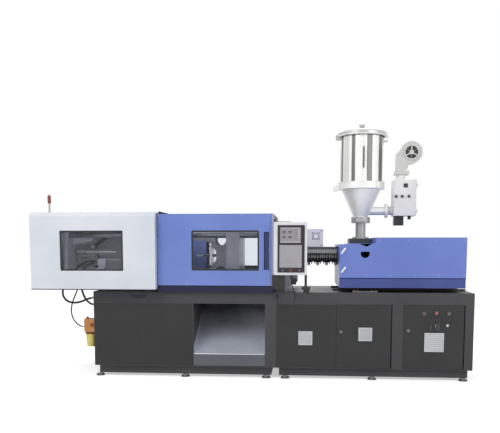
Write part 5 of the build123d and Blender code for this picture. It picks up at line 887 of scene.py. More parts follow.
def hose_ferrules():
    """Crimped sleeve and nut at both ends of each hose, and the cable's two boots."""
    mesh = bmesh.new()
    ends = ((HOSE_LONG, HOSE_DIAMETER), (HOSE_SHORT, HOSE_DIAMETER), (HOSE_LUBRICATOR, LUB_HOSE_DIAMETER))
    for route, diameter in ends:
        for place, after in ((route[0], route[1]), (route[-1], route[-2])):
            axis = Vector(after) - Vector(place)
            inner, outer = diameter / 2, diameter * 0.66
            sleeve = [(inner, 0.010), (outer, 0.010), (outer, 0.030), (inner + 0.001, 0.034), (inner, 0.034)]
            lathe(mesh, sleeve, place, axis, sides=20, loop=True)
            nut = [(inner, 0.0), (outer * 1.15, 0.0), (outer * 1.15, 0.009), (outer, 0.0105), (inner, 0.0105)]
            lathe(mesh, nut, place, axis, sides=6, loop=True)
    make_piece("hose_ferrules", mesh, zinc, "root")
    mesh = bmesh.new()
    half = CABLE_DIAMETER / 2
    boot = [(half, 0.0), (half * 2.0, 0.0), (half * 2.0, 0.005)]
    for step in range(5):
        thick = half * (1.75 - 0.13 * step)
        boot += [(thick, 0.006 + step * 0.006), (thick, 0.010 + step * 0.006),
                 (thick - 0.0012, 0.011 + step * 0.006)]
    boot += [(half, 0.036)]
    for place, axis in ((PANEL_CABLE[0], DOWN), (PANEL_CABLE[-1], FRONT)):
        lathe(mesh, boot, place, axis, sides=20, loop=True)
    make_piece("cable_boots", mesh, black_rubber, "root")


def window_gasket(name, pane, face, depth, body, lap=0.022, width=0.016):
    """Rubber profile round the edge of a window opening."""
    low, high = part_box(pane)
    x0, x1, z0, z1 = low.x + lap, high.x - lap, low.z + lap, high.z - lap
    mesh = bmesh.new()
    rings = []
    for inset, out in ((0.0, 0.0), (0.0, 1.0), (0.35, 1.25), (0.75, 1.15), (1.0, 0.6), (1.0, 0.0)):
        grow = inset * width
        outline = rounded_outline(x0 + grow, x1 - grow, z0 + grow, z1 - grow, 0.012)
        rings.append([(x, face + depth * (1 - out), z) for x, z in outline])
    loft_rings(mesh, rings, close_ends=False)
    make_piece(name, mesh, black_rubber, body)


# Base
PLATE_LOW = 0.123
PLATE_TOP = 0.781
FRONT_PLATES = ((-1.964, -1.455), (-1.450, -0.911), (-0.032, 0.578))
REAR_PLATES = ((-1.930, -1.000), (-0.990, -0.080), (0.0, 0.960), (0.970, 1.930))
FILTERS = (
    ("left", "root", 0.269, 0.432, 0.144, -0.574), ("middle", "door_middle", 0.882, 0.478, 0.138, -0.572),
    ("right", "door_right", 1.577, 0.403, 0.194, -0.572),
)
LOCKS = (("middle", "door_middle", 0.634, 0.502), ("right", "door_right", 1.317, 0.521))
LAMPS = (
    ("left", lens_dull_red, 1.470, 0.694, 0.015), ("centre", lens_red, 1.592, 0.703, 0.016),
    ("right", lens_grey, 1.719, 0.699, 0.015), ("low", lens_clear, 1.706, 0.578, 0.013),
)
LOCK_FACE = -0.5665
KEY_SLOT_FACES = (-0.570, -0.5714)
# Marks round the main switch: middle, half width and half height
SWITCH_MARKS = ((1.58, 0.5915, 0.002, 0.002), (1.6155, 0.558, 0.003, 0.0015), (1.5445, 0.558, 0.003, 0.0015))
FOOT_PLACES = (-1.925, -1.0, -0.14, 0.06, 0.9625, 1.89)
FOOT_ROW = 0.512
GROMMET_PLACE = (-1.484, 0.866)


def base_details():
    """Screws of the cover plates and filters, door locks, lamps, foot nuts, grommet and grease block."""
    for side, plates, face, axis, along in (
        ("front", FRONT_PLATES, PLATE_FACE, FRONT, 3), ("rear", REAR_PLATES, -PLATE_FACE, REAR, 4),
    ):
        places = []
        for x0, x1 in plates:
            places += rim_places(x0, x1, PLATE_LOW, PLATE_TOP, face, 0.014, along, 4)
        fasteners(f"{side}_plate_screws", places, axis, 0.005, "root", zinc_black)
    for name, body, x, z, size, face in FILTERS:
        half = size / 2
        places = rim_places(x - half, x + half, z - half, z + half, face, 0.006, 2, 2)
        fasteners(f"filter_{name}_screws", places, FRONT, 0.003, body)
    for name, body, x, z in LOCKS:
        ring = [(0, 0), (0.0165, 0), (0.0165, 0.004), (0.013, 0.0058), (0.011, 0.0046), (0, 0.0046)]
        place = (x, LOCK_FACE, z)
        turned_piece(f"door_lock_{name}_ring", ring, [place], FRONT, lock_grey, body)
        edges = (x - 0.0011, x + 0.0011, z - 0.0065, z + 0.0065)
        plate_piece(f"door_lock_{name}_key_slot", edges, 0.001, KEY_SLOT_FACES, black_rubber, body,
                    bevel=0.0002)
    for name, material, x, z, radius in LAMPS:
        places = [(x, BASE_FACE, z)]
        grow = radius + 0.001
        rim = radius + 0.006
        dome = [(0, 0.004), (grow, 0.004), (grow, 0.013), (grow * 0.86, 0.0175), (grow * 0.5, 0.0205),
                (0, 0.0215)]
        turned_piece(f"lamp_lens_{name}", dome, places, FRONT, material, "door_right")
        bezel = [(grow, 0.0055), (rim, 0.0055), (rim, 0.0075), (radius + 0.0035, 0.0105), (grow, 0.0105)]
        turned_piece(f"lamp_bezel_{name}", bezel, places, FRONT, lock_grey, "door_right",
                     loop=True)
    pointer = (1.5784, 1.5816, 0.568, 0.586)
    plate_piece("switch_pointer", pointer, 0.0012, (-0.6035, -0.6045), lens_clear, "main_switch",
                0.0003)
    mesh = bmesh.new()
    for x, z, wide, tall in SWITCH_MARKS:
        block(mesh, x - wide, x + wide, -0.5684, -0.5678, z - tall, z + tall)
    make_piece("switch_scale_marks", mesh, lens_clear, "door_right")
    nut = [(0, 0.0195), (0.026, 0.0195), (0.026, 0.0275), (0.023, 0.0295), (0, 0.0295)]
    places = [(x, y, 0) for x in FOOT_PLACES for y in (-FOOT_ROW, FOOT_ROW)]
    turned_piece("foot_nuts", nut, places, UP, zinc, "root", sides=6)
    mesh = bmesh.new()
    x, z = GROMMET_PLACE
    turns = [pi + pi * step / 16 for step in range(17)]
    oval = [(x + 0.083 * cos(a), z + 0.030 * sin(a)) for a in turns]
    plate(mesh, oval, BASE_FACE + 0.0005, BASE_FACE - 0.004, 0.002)
    make_piece("beam_grommet", mesh, black_rubber, "root")
    mesh = bmesh.new()
    block(mesh, 0.750, 1.005, -0.508, -0.488, BASE_TOP, BASE_TOP + 0.014)
    make_piece("grease_block", mesh, motor_grey, "root", soft=0.0015)
    fitting = [(0, 0), (0.0055, 0), (0.0055, 0.006), (0.003, 0.008), (0.003, 0.012), (0.0042, 0.015),
               (0, 0.017)]
    places = [(x, -0.498, BASE_TOP + 0.0135) for x in (0.765, 0.800, 0.945, 0.990)]
    turned_piece("grease_fittings", fitting, places, UP, brass, "root", sides=12)


def cabinet_details():
    """Cooling ribs of the motor, and terminals and levers of the switchgear."""
    rib = [(0.134, 0), (0.147, 0.001), (0.147, 0.004), (0.134, 0.005)]
    places = [(0.668 + index * 0.019, 0.150, 0.390) for index in range(14)]
    turned_piece("motor_ribs", rib, places, RIGHT, motor_grey, "root", sides=48, loop=True)
    terminals, levers = [], bmesh.new()
    for row in range(3):
        for column in range(4):
            x, z = 1.330 + column * 0.130, 0.220 + row * 0.180
            face = 0.330 - row * 0.015
            for height in (0.010, 0.100):
                terminals += line_of((x + 0.012, face, z + height), (x + 0.083, face, z + height), 5)
            lever = rounded_outline(x + 0.034, x + 0.061, z + 0.045, z + 0.067, 0.004, 3)
            plate(levers, lever, face + 0.001, face - 0.012, 0.002)
    fasteners("switchgear_terminals", terminals, FRONT, 0.0045, "root", brass)
    make_piece("switchgear_levers", levers, knob_dark, "root")


# Clamp end
COVER_SPAN = (-2.592, -1.272)
GATE_SPAN = (-1.268, -0.090)
GATE_WINDOW = (-0.910, -0.211, 1.130, 1.541)
KNEES = ((-1.694721, 1.490258, "rear_links_upper"), (-1.694721, 1.059742, "rear_links_lower"))
ALARM = (-2.425, -0.550, 1.728)
PIN_PLATE = [(0, 0), (0.036, 0), (0.036, 0.004), (0.034, 0.005), (0, 0.005)]
PIN_SCREW_CIRCLE = 0.022
LINK_FACE = 0.1593
TIE_BAR_OFFSET = 0.235


def clamp_details():
    """Alarm lens, a dark strip of painted shade along the cover's lower edge, screws of the covers and gates,
    pin plates and tie-bar details.
    """
    profile = [(0, 0.0995), (0.0170, 0.0995)]
    for step in range(9):
        low = 0.1005 + step * 0.008
        profile += [(0.0175, low), (0.0186, low + 0.003), (0.0186, low + 0.005), (0.0175, low + 0.0075)]
    profile += [(0.0172, 0.174), (0.0125, 0.1835), (0.0080, 0.1878), (0, 0.1882)]
    turned_piece("alarm_lens", profile, [ALARM], UP, alarm_red, "root", sides=32)
    # Dark strip along the cover's lower edge: painted shade under the cover
    mesh = bmesh.new()
    left, right = COVER_SPAN
    for y0, y1 in ((COVER_FACE, COVER_FACE + 0.006), (-COVER_FACE - 0.006, -COVER_FACE)):
        block(mesh, left, right, y0, y1, 0.928, 0.9368)
    block(mesh, left, left + 0.006, COVER_FACE + 0.006, -COVER_FACE - 0.006, 0.928, 0.9368)
    make_piece("cover_edge_shade_strip", mesh, stand_black, "root", soft=0.001)
    places = []
    for y in (-0.625, 0.625):
        places += line_of((left + 0.06, y, 1.728), (right - 0.06, y, 1.728), 6)
    fasteners("cover_top_screws", places, UP, 0.007, "root")
    x0, x1, z0, z1 = GATE_WINDOW
    for side, axis, body in ((1, FRONT, "front_gate"), (-1, REAR, "rear_gate")):
        face = GATE_FACE * side
        places = rim_places(x0 - 0.026, x1 + 0.026, z0 - 0.026, z1 + 0.026, face, 0.012, 6, 4)
        fasteners(f"{body}_window_screws", places, axis, 0.0035, body)
        places = rim_places(*GATE_SPAN, 0.975, 1.712, face, 0.02, 5, 3)
        fasteners(f"{body}_edge_screws", places, axis, 0.005, body)
    for index, (x, z, body) in enumerate(KNEES):
        mesh = bmesh.new()
        screws = bmesh.new()
        for side in (-1, 1):
            lathe(mesh, PIN_PLATE, (x, side * LINK_FACE, z), (0, side, 0), sides=40)
            places = circle_places((x, side * 0.1643, z), (0, side, 0), PIN_SCREW_CIRCLE, 3)
            button_heads(screws, places, (0, side, 0), 0.0048)
        make_piece(f"knee_pin_plates_{index}", mesh, pin_steel_painted_light, body)
        make_piece(f"knee_plate_screws_{index}", screws, zinc_black, body)
    for name, body, x, reach in (("tail", "root", -2.060, 0.1673),
                                 ("head", "moving_platen", -1.329441, LINK_FACE)):
        mesh = bmesh.new()
        screws = bmesh.new()
        for side in (-1, 1):
            for z in (AXIS_Z - PIN_OFFSET, AXIS_Z + PIN_OFFSET):
                lathe(mesh, PIN_PLATE, (x, side * reach, z), (0, side, 0), sides=40)
                places = circle_places((x, side * (reach + 0.005), z), (0, side, 0), PIN_SCREW_CIRCLE, 3)
                button_heads(screws, places, (0, side, 0), 0.0048)
        make_piece(f"{name}_pin_plates", mesh, pin_steel_painted_light, body)
        make_piece(f"{name}_plate_screws", screws, zinc_black, body)
    ring = [(0.0625, -0.001), (0.0885, -0.001), (0.0885, 0.0015), (0.0865, 0.0025), (0.0640, 0.0025),
            (0.0625, 0.001)]
    place = (-0.060, 0, AXIS_Z)
    turned_piece("locating_ring", ring, [place], LEFT, machined_steel, "root", sides=64,
                 loop=True)
    places = circle_places((-0.0625, 0, AXIS_Z), LEFT, 0.0755, 6)
    fasteners("locating_ring_screws", places, LEFT, 0.005, "root", zinc_black)
    places = []
    for y in (-TIE_BAR_OFFSET, TIE_BAR_OFFSET):
        for z in (AXIS_Z - TIE_BAR_OFFSET, AXIS_Z + TIE_BAR_OFFSET):
            places += circle_places((0.168, y, z), RIGHT, 0.053, 4, pi / 4)
    fasteners("tie_nut_screws", places, RIGHT, 0.007, "root", zinc_black)


# Control panel
SCREEN = (0.006, 0.216, 1.413, 1.570)
KEYPAD = (0.001, 0.225, 1.165, 1.392)
KEY_COLUMNS = 9
KEY_ROWS = 7
STOP_PLACE = (0.118, 1.138)


def panel_details():
    """Screen page, frame, key marks, sockets, stop ring and the housing's screws."""
    x0, x1, z0, z1 = SCREEN
    mesh = bmesh.new()
    outer = rounded_outline(x0 - 0.007, x1 + 0.007, z0 - 0.007, z1 + 0.007, 0.005)
    inner = rounded_outline(x0, x1, z0, z1, 0.003)
    rings = [[(x, y, z) for x, z in outline] for outline, y in (
        (inner, -0.6575), (outer, FASCIA_FACE + 0.0005), (outer, FASCIA_FACE - 0.0012),
        (inner, FASCIA_FACE - 0.0004))]
    loft_rings(mesh, rings, close_ends=False)
    make_piece("screen_frame", mesh, fascia_black, "root")
    faces = (-0.657, -0.6585)
    plate_piece("screen_glass", SCREEN, 0.003, faces, display_glass, "root", bevel=0.0003,
                steps=5)
    mesh = bmesh.new()
    front, back = -0.6588, -0.6584
    for column in range(2):
        for row in range(2):
            x = x0 + 0.022 + column * 0.062
            z = z1 - 0.036 - row * 0.050
            plate(mesh, rounded_outline(x, x + 0.034, z - 0.020, z, 0.004, 3), back, front, 0.0001)
            block(mesh, x + 0.008, x + 0.026, front, back, z - 0.028, z - 0.024)
    for row in range(5):
        z = z1 - 0.030 - row * 0.019
        block(mesh, x0 + 0.146, x0 + 0.170 + 0.006 * (row % 3), front, back, z - 0.004, z)
    make_piece("screen_dark_fields", mesh, display_dark, "root")
    mesh = bmesh.new()
    block(mesh, x0 + 0.004, x1 - 0.004, front, back, z1 - 0.012, z1 - 0.005)
    for column in range(6):
        x = x0 + 0.006 + column * 0.0335
        block(mesh, x, x + 0.030, front, back, z0 + 0.005, z0 + 0.016)
    for row in range(4):
        z = z1 - 0.030 - row * 0.024
        block(mesh, x0 + 0.180, x0 + 0.202, front, back, z - 0.008, z)
    make_piece("screen_light_fields", mesh, display_light, "root")
    marks, greens = bmesh.new(), bmesh.new()
    pitch_x = (KEYPAD[1] - KEYPAD[0]) / KEY_COLUMNS
    pitch_z = (KEYPAD[3] - KEYPAD[2]) / KEY_ROWS
    key_face = FASCIA_FACE - 0.0045
    for column in range(KEY_COLUMNS):
        for row in range(KEY_ROWS):
            x = KEYPAD[0] + (column + 0.5) * pitch_x
            z = KEYPAD[2] + (row + 0.5) * pitch_z
            mesh = greens if row == 0 and column in (0, 8) else marks
            kind = (column + 2 * row) % 4
            wide = (0.0045, 0.0012, 0.0032, 0.0050)[kind]
            tall = (0.0012, 0.0050, 0.0032, 0.0010)[kind]
            block(mesh, x - wide, x + wide, key_face - 0.0003, key_face + 0.0003, z - tall, z + tall)
            if kind == 3:
                block(mesh, x - 0.003, x + 0.003, key_face - 0.0003, key_face + 0.0003, z + 0.003, z + 0.005)
    make_piece("key_marks", marks, key_mark, "root")
    make_piece("key_marks_green", greens, key_green, "root")
    mesh = bmesh.new()
    for x in (0.034, 0.203):
        socket = rounded_outline(x - 0.011, x + 0.011, 1.127, 1.149, 0.003)
        plate(mesh, socket, FASCIA_FACE + 0.0005, FASCIA_FACE - 0.003, 0.001)
    make_piece("panel_sockets", mesh, socket_grey, "root")
    x, z = STOP_PLACE
    places = [(x, FASCIA_FACE, z)]
    ring = [(0.0135, -0.0005), (0.021, -0.0005), (0.021, 0.001), (0.0195, 0.0025), (0.0135, 0.0025)]
    turned_piece("stop_ring", ring, places, FRONT, socket_grey, "root", sides=40, loop=True)
    places = rim_places(-0.060, 0.280, 1.087, 1.625, -0.545, 0.018, 3, 3)
    fasteners("panel_back_screws", places, REAR, 0.004, "root")
    mesh = bmesh.new()
    for row in range(8):
        z = 1.44 + row * 0.014
        plate(mesh, rounded_outline(0.02, 0.20, z, z + 0.006, 0.0028, 3), -0.5455, -0.5425, 0.001)
    make_piece("panel_back_louvres", mesh, panel_white, "root")


# Injection end
GUARD_RING = (0.375, 1.490)
GUARD_FACE = -0.150
BAND_CENTRES = tuple(0.205 + 0.098 * index for index in range(5))
FEED_LEFT = 0.614
FEED_RIGHT = 1.888


def draw_latch(plates, mesh, x, z):
    """Draw latch: painted base plate with a slanting lever and its pin."""
    outline = rounded_outline(x - 0.012, x + 0.012, z - 0.022, z + 0.022, 0.004, 3)
    plate(plates, outline, INJECTION_FACE, INJECTION_FACE - 0.003, 0.001)
    turn = radians(52)
    lever = []
    for along, side in rounded_outline(-0.038, 0.038, -0.0085, 0.0085, 0.008, 4):
        lever.append((x + along * cos(turn) - side * sin(turn), z + along * sin(turn) + side * cos(turn)))
    plate(mesh, lever, INJECTION_FACE - 0.004, INJECTION_FACE - 0.010, 0.002)
    pin = [(0, 0.002), (0.005, 0.002), (0.005, 0.012), (0.004, 0.013), (0, 0.013)]
    lathe(mesh, pin, (x, INJECTION_FACE, z), FRONT, sides=16)


def injection_details():
    """Band straps and terminals, wiring duct, guard fittings, latches and cover screws."""
    straps, screws, posts = bmesh.new(), bmesh.new(), bmesh.new()
    for centre in BAND_CENTRES:
        for shift in (-0.030, 0.0, 0.030):
            ring = [(0.0745, -0.004), (0.0762, -0.004), (0.0762, 0.004), (0.0745, 0.004)]
            lathe(straps, ring, (centre + shift, 0, AXIS_Z), RIGHT, sides=48, loop=True)
            for side in (-1, 1):
                low_y, high_y = sorted((side * 0.016, side * 0.022))
                x = centre + shift
                block(straps, x - 0.005, x + 0.005, low_y, high_y, AXIS_Z - 0.092, AXIS_Z - 0.071)
            lathe(screws, [(0, -0.020), (0.003, -0.020), (0.003, 0.020), (0, 0.020)],
                  (centre + shift, 0.0, AXIS_Z - 0.085), REAR, sides=10)
        for shift in (-0.007, 0.007):
            post = [(0, 0), (0.005, 0), (0.005, 0.006), (0.0028, 0.007), (0.0028, 0.012), (0, 0.012)]
            lathe(posts, post, (centre + shift, 0, AXIS_Z - 0.0985), DOWN, sides=14)
    make_piece("band_straps", straps, barrel_steel, "carriage")
    make_piece("band_clamp_screws", screws, zinc, "carriage")
    make_piece("band_terminals", posts, ceramic, "carriage")
    probes = [(x + 0.049, 0, AXIS_Z + 0.0615) for x in BAND_CENTRES[:-1]]
    probe = [(0, 0), (0.0042, 0), (0.0042, 0.008), (0.0024, 0.010), (0.0024, 0.020), (0, 0.021)]
    turned_piece("barrel_probes", probe, probes, UP, chrome, "carriage", sides=12)
    mesh = bmesh.new()
    block(mesh, 0.168, 0.600, -0.163, -0.137, 1.304, 1.3435)
    for index in range(34):
        x = 0.173 + index * 0.0125
        block(mesh, x, x + 0.008, -0.1645, -0.1625, 1.310, 1.339)
    make_piece("wiring_duct", mesh, duct_grey, "root", soft=0.0004)
    x, z = GUARD_RING
    lens = [(0, 0), (0.0258, 0), (0.0258, 0.004), (0.020, 0.0055), (0, 0.0065)]
    places = [(x, -0.1475, z)]
    turned_piece("guard_lens", lens, places, FRONT, guard_lens, "purge_guard", sides=40)
    rim = [(0.0262, 0.0), (0.0372, 0.0), (0.0372, 0.0065), (0.0345, 0.0085), (0.0285, 0.0085),
           (0.0262, 0.0065)]
    middle = (x, GUARD_FACE, z)
    turned_piece("guard_ring", rim, [middle], FRONT, ring_grey, "purge_guard", sides=48,
                 loop=True)
    places = rim_places(0.190, 0.455, 1.373, 1.565, GUARD_FACE, 0.018, 2, 2)
    places += circle_places(middle, FRONT, 0.05, 4, pi / 4)
    fasteners("guard_screws", places, FRONT, 0.006, "purge_guard", zinc_black)
    mesh = bmesh.new()
    plates = bmesh.new()
    draw_latch(plates, mesh, 0.651, 1.334)
    draw_latch(plates, mesh, 0.653, 1.139)
    # The levers' near-white zinc is a painted highlight
    make_piece("cover_latches", mesh, latch_zinc_painted_highlight, "carriage")
    make_piece("cover_latch_plates", plates, injection_blue, "carriage")
    for name, face, axis in (("front", INJECTION_FACE, FRONT), ("rear", -INJECTION_FACE, REAR)):
        places = line_of((FEED_LEFT + 0.02, face, 1.082), (FEED_RIGHT - 0.02, face, 1.082), 6)
        places += line_of((1.02, face, 1.440), (FEED_RIGHT - 0.02, face, 1.440), 4)
        fasteners(f"injection_cover_{name}_screws", places, axis, 0.005, "carriage")
    places = [(FEED_RIGHT, y, z) for y in (-0.46, 0.46) for z in (1.10, 1.26, 1.42)]
    fasteners("injection_cover_end_screws", places, RIGHT, 0.005, "carriage")


# Hopper, dryer and blower
DRUM_RADIUS = 0.228
DRUM_LOW = 2.070
DRUM_TOP = 2.546
PIPE_AXIS_Z = 1.765
DRYER_KNOBS = (1.226, 1.290, 1.360)
DRYER_SIDE = 1.4398
BLOWER_FLANGE_BOLTS = ((1.2260, -0.056), (1.2260, 0.056), (1.3625, -0.056), (1.3625, 0.056))
BLOWER_CENTRE = (1.389, 2.382)
# Tongue, hook and foot of a lid clasp: inner and outer reach, half width, lower and upper height
CLASP_PARTS = (
    (0.226, 0.272, 0.013, 2.500, 2.516), (0.2705, 0.2765, 0.010, 2.500, 2.588),
    (0.2300, 0.2340, 0.017, 2.470, 2.540),
)


def drum_point(angle, out, z):
    """Point on the drum's skin at an angle in degrees, standing out by a little."""
    reach = DRUM_RADIUS + out
    return (HOPPER_AXIS[0] + reach * cos(radians(angle)), reach * sin(radians(angle)), z)


def drum_strip(mesh, start, end, out, z0, z1, steps=6):
    """Curved strip on the drum's skin."""
    rings = []
    for step in range(steps + 1):
        angle = start + (end - start) * step / steps
        rings.append([drum_point(angle, -0.0005, z0), drum_point(angle, out, z0), drum_point(angle, out, z1),
                      drum_point(angle, -0.0005, z1)])
    loft_rings(mesh, rings)


def hopper_details():
    """Lap seam with rivets, sight strip, lid rim, clasps and the bolts of the neck and the pipe."""
    mesh = bmesh.new()
    for start in (-92.5, 87.5):
        drum_strip(mesh, start, start + 5, 0.0014, DRUM_LOW, DRUM_TOP)
    make_piece("drum_lap_seams", mesh, cone_steel, "carriage")
    mesh = bmesh.new()
    for angle in (-92.0, 88.0):
        for place in line_of(drum_point(angle, 0.0014, 2.09), drum_point(angle, 0.0014, 2.53), 12):
            outward = (place.x - HOPPER_AXIS[0], place.y, 0)
            rivet = [(0, -0.0005), (0.0032, -0.0005), (0.0026, 0.0010), (0.0012, 0.0017), (0, 0.0018)]
            lathe(mesh, rivet, place, outward, sides=10)
    make_piece("drum_rivets", mesh, zinc, "carriage")
    for name, edges, radius, faces, material, bevel in (
        ("sight_frame", (0.852, 0.882, 2.195, 2.435), 0.013, (-0.2255, -0.2335), chrome, 0.0015),
        ("sight_glass", (0.859, 0.875, 2.207, 2.423), 0.0075, (-0.2330, -0.2345), lens_grey, 0.0005),
    ):
        plate_piece(name, edges, radius, faces, material, "carriage", bevel, steps=6)
    mesh = bmesh.new()
    for radius, z in ((0.250, 1.9965), (0.250, 2.0645)):
        bead = [(radius - 0.001, -0.003), (radius + 0.003, -0.003), (radius + 0.0045, 0.0),
                (radius + 0.003, 0.003),
                (radius - 0.001, 0.003)]
        lathe(mesh, bead, (*HOPPER_AXIS, z), UP, sides=72, loop=True)
    make_piece("band_ring_beads", mesh, cone_steel, "carriage")
    mesh = bmesh.new()
    bead = [(0.2630, -0.004), (0.2670, -0.004), (0.2690, 0.0), (0.2670, 0.004), (0.2630, 0.004)]
    lathe(mesh, bead, (*HOPPER_AXIS, 2.558), UP, sides=72, loop=True)
    for radius, z in ((0.150, 2.6226), (0.045, 2.6370)):
        ring = [(radius, -0.001), (radius + 0.008, -0.001), (radius + 0.006, 0.002), (radius + 0.002, 0.002)]
        lathe(mesh, ring, (*HOPPER_AXIS, z), UP, sides=48, loop=True)
    make_piece("lid_beads", mesh, cone_steel, "hopper_lid")
    for name, angle in (("right", 0.0), ("rear", 90.0)):
        mesh = bmesh.new()
        outward = Vector((cos(radians(angle)), sin(radians(angle)), 0))
        aside = Vector((-outward.y, outward.x, 0))
        for inner, outer, half, z0, z1 in CLASP_PARTS:
            centre = Vector((*HOPPER_AXIS, 0))
            places = ((inner, -half), (outer, -half), (outer, half), (inner, half))
            corners = [centre + outward * reach + aside * side for reach, side in places]
            loft_rings(mesh, [[(point.x, point.y, z) for point in corners] for z in (z0, z1)])
        make_piece(f"lid_clasp_{name}", mesh, zinc, "carriage", soft=0.001)
    places = circle_places((*HOPPER_AXIS, 1.692), UP, 0.0915, 6, pi / 6)
    fasteners("neck_flange_bolts", places, UP, 0.0072, "carriage", zinc, hexagon_heads)
    places = circle_places((*HOPPER_AXIS, 1.478), UP, 0.0745, 4, pi / 4)
    fasteners("feed_flange_bolts", places, UP, 0.0085, "carriage", zinc, hexagon_heads)
    places = circle_places((1.124, 0, PIPE_AXIS_Z), LEFT, 0.0625, 6, pi / 6)
    fasteners("pipe_flange_bolts", places, LEFT, 0.0065, "carriage", zinc, hexagon_heads)
    places = circle_places((1.148, 0, PIPE_AXIS_Z), RIGHT, 0.0625, 6, pi / 6)
    fasteners("pipe_flange_nuts", places, RIGHT, 0.0065, "carriage", zinc, hexagon_heads)


def dryer_details():
    """Knobs, display, screws and louvres of the dryer; grille, bolts and motor of the blower."""
    cap = [(0, 0.0), (0.0155, 0.0), (0.0155, 0.002), (0.0150, 0.012), (0.0132, 0.0142), (0, 0.0142)]
    places = [(x, -0.1262, 1.911) for x in DRYER_KNOBS]
    turned_piece("dryer_knobs", cap, places, FRONT, knob_dark, "dryer_door", sides=18)
    mesh = bmesh.new()
    for x in DRYER_KNOBS:
        block(mesh, x - 0.0008, x + 0.0008, -0.1409, -0.1401, 1.913, 1.922)
    make_piece("dryer_knob_marks", mesh, lens_clear, "dryer_door")
    edges = (1.306, 1.344, 2.014, 2.043)
    faces = (-0.1288, -0.1298)
    plate_piece("dryer_display", edges, 0.002, faces, fascia_black, "dryer_door",
                bevel=0.0004)
    mesh = bmesh.new()
    for column in range(3):
        x = 1.311 + column * 0.0105
        for z in (2.020, 2.028, 2.036):
            block(mesh, x, x + 0.006, -0.13005, -0.1297, z - 0.0005, z + 0.0005)
        block(mesh, x + 0.0055, x + 0.0065, -0.13005, -0.1297, 2.0205, 2.0355)
    make_piece("dryer_display_bars", mesh, lens_grey, "dryer_door")
    places = rim_places(1.207, 1.438, 1.707, 2.088, -0.124, 0.012, 2, 3)
    fasteners("dryer_door_screws", places, FRONT, 0.0035, "dryer_door")
    mesh = bmesh.new()
    for row in range(9):
        z = 1.775 + row * 0.020
        rings = []
        for y, out in ((-0.066, 0.0004), (-0.058, 0.0055), (0.058, 0.0055), (0.066, 0.0004)):
            rings.append([
                (DRYER_SIDE, y, z - 0.007), (DRYER_SIDE + out, y, z - 0.006),
                (DRYER_SIDE + out * 0.6, y, z + 0.001), (DRYER_SIDE, y, z + 0.004),
            ])
        loft_rings(mesh, rings)
    make_piece("dryer_side_louvres", mesh, dryer_white, "carriage")
    x, z = BLOWER_CENTRE
    mesh = bmesh.new()
    for radius in (0.032, 0.044, 0.056, 0.066):
        wire = [(radius + 0.0011 * cos(a), 0.0011 * sin(a)) for a in (index * pi / 3 for index in range(6))]
        lathe(mesh, wire, (x, -0.0712, z), FRONT, sides=48, loop=True)
    for angle in (30, 150, 270):
        end = Vector((cos(radians(angle)), 0, sin(radians(angle))))
        centre = Vector((x, -0.0725, z))
        aside = end.cross(Y) * 0.0014
        section = ((-1, 0), (1, 0), (1, 0.002), (-1, 0.002))
        rings = [[centre + end * reach + aside * a + Y * b for a, b in section] for reach in (0.022, 0.069)]
        loft_rings(mesh, rings)
    make_piece("blower_grille", mesh, zinc, "carriage")
    places = circle_places((x, -0.060, z), FRONT, 0.103, 8, pi / 8)
    fasteners("blower_cover_screws", places, FRONT, 0.0048, "carriage")
    for kind, height, axis in (("bolts", 2.184, UP), ("nuts", 2.150, DOWN)):
        places = [(*place, height) for place in BLOWER_FLANGE_BOLTS]
        fasteners(f"blower_flange_{kind}", places, axis, 0.0058, "carriage", zinc, hexagon_heads)
    mesh = bmesh.new()
    for index in range(9):
        rib = [(0.0655, 0), (0.0725, 0.0008), (0.0725, 0.0028), (0.0655, 0.0036)]
        lathe(mesh, rib, (x, 0.072 + index * 0.0088, z), REAR, sides=48, loop=True)
    cowl = [(0.0655, 0.0), (0.0735, 0.0), (0.0735, 0.024), (0.068, 0.030), (0.030, 0.030), (0.030, 0.027),
            (0.0655, 0.027)]
    lathe(mesh, cowl, (x, 0.1515, z), REAR, sides=48, loop=True)
    make_piece("blower_motor_ribs", mesh, motor_grey, "carriage")


TANK_CENTRE = (-2.028, -0.500)


def lubricator_details():
    """Level window, cap screws, knob and outlet of the lubricator."""
    x, y = TANK_CENTRE
    edges = (x - 0.011, x + 0.011, 0.330, 0.425)
    faces = (y - 0.040, y - 0.0535)
    plate_piece("tank_level_window", edges, 0.006, faces, level_glass, "root", bevel=0.002,
                steps=4)
    mesh = bmesh.new()
    for row in range(6):
        rise = row * 0.014
        block(mesh, x - 0.004, x + 0.008, -0.5545, -0.5530, 0.342 + rise, 0.3432 + rise)
    make_piece("tank_level_marks", mesh, knob_dark, "root")
    knob = [(0, 0), (0.017, 0), (0.017, 0.010), (0.013, 0.015), (0, 0.015)]
    place = (-1.996, -0.552, 0.546)
    turned_piece("lubricator_knob", knob, [place], FRONT, lub_red, "root", sides=16)
    places = rim_places(-2.082, -1.970, 0.470, 0.610, -0.552, 0.010, 2, 2)
    fasteners("lubricator_screws", places, FRONT, 0.0048, "root")
    mesh = bmesh.new()
    for step in range(4):
        z = 0.318 + step * 0.036
        radius = 0.042 + 0.010 * (z - 0.310) / 0.136
        ring = [(radius - 0.0005, -0.0018), (radius + 0.0016, -0.001), (radius + 0.0016, 0.001),
                (radius - 0.0005, 0.0018)]
        lathe(mesh, ring, (*TANK_CENTRE, z), UP, sides=40, loop=True)
    make_piece("tank_ribs", mesh, tank_yellow, "root")


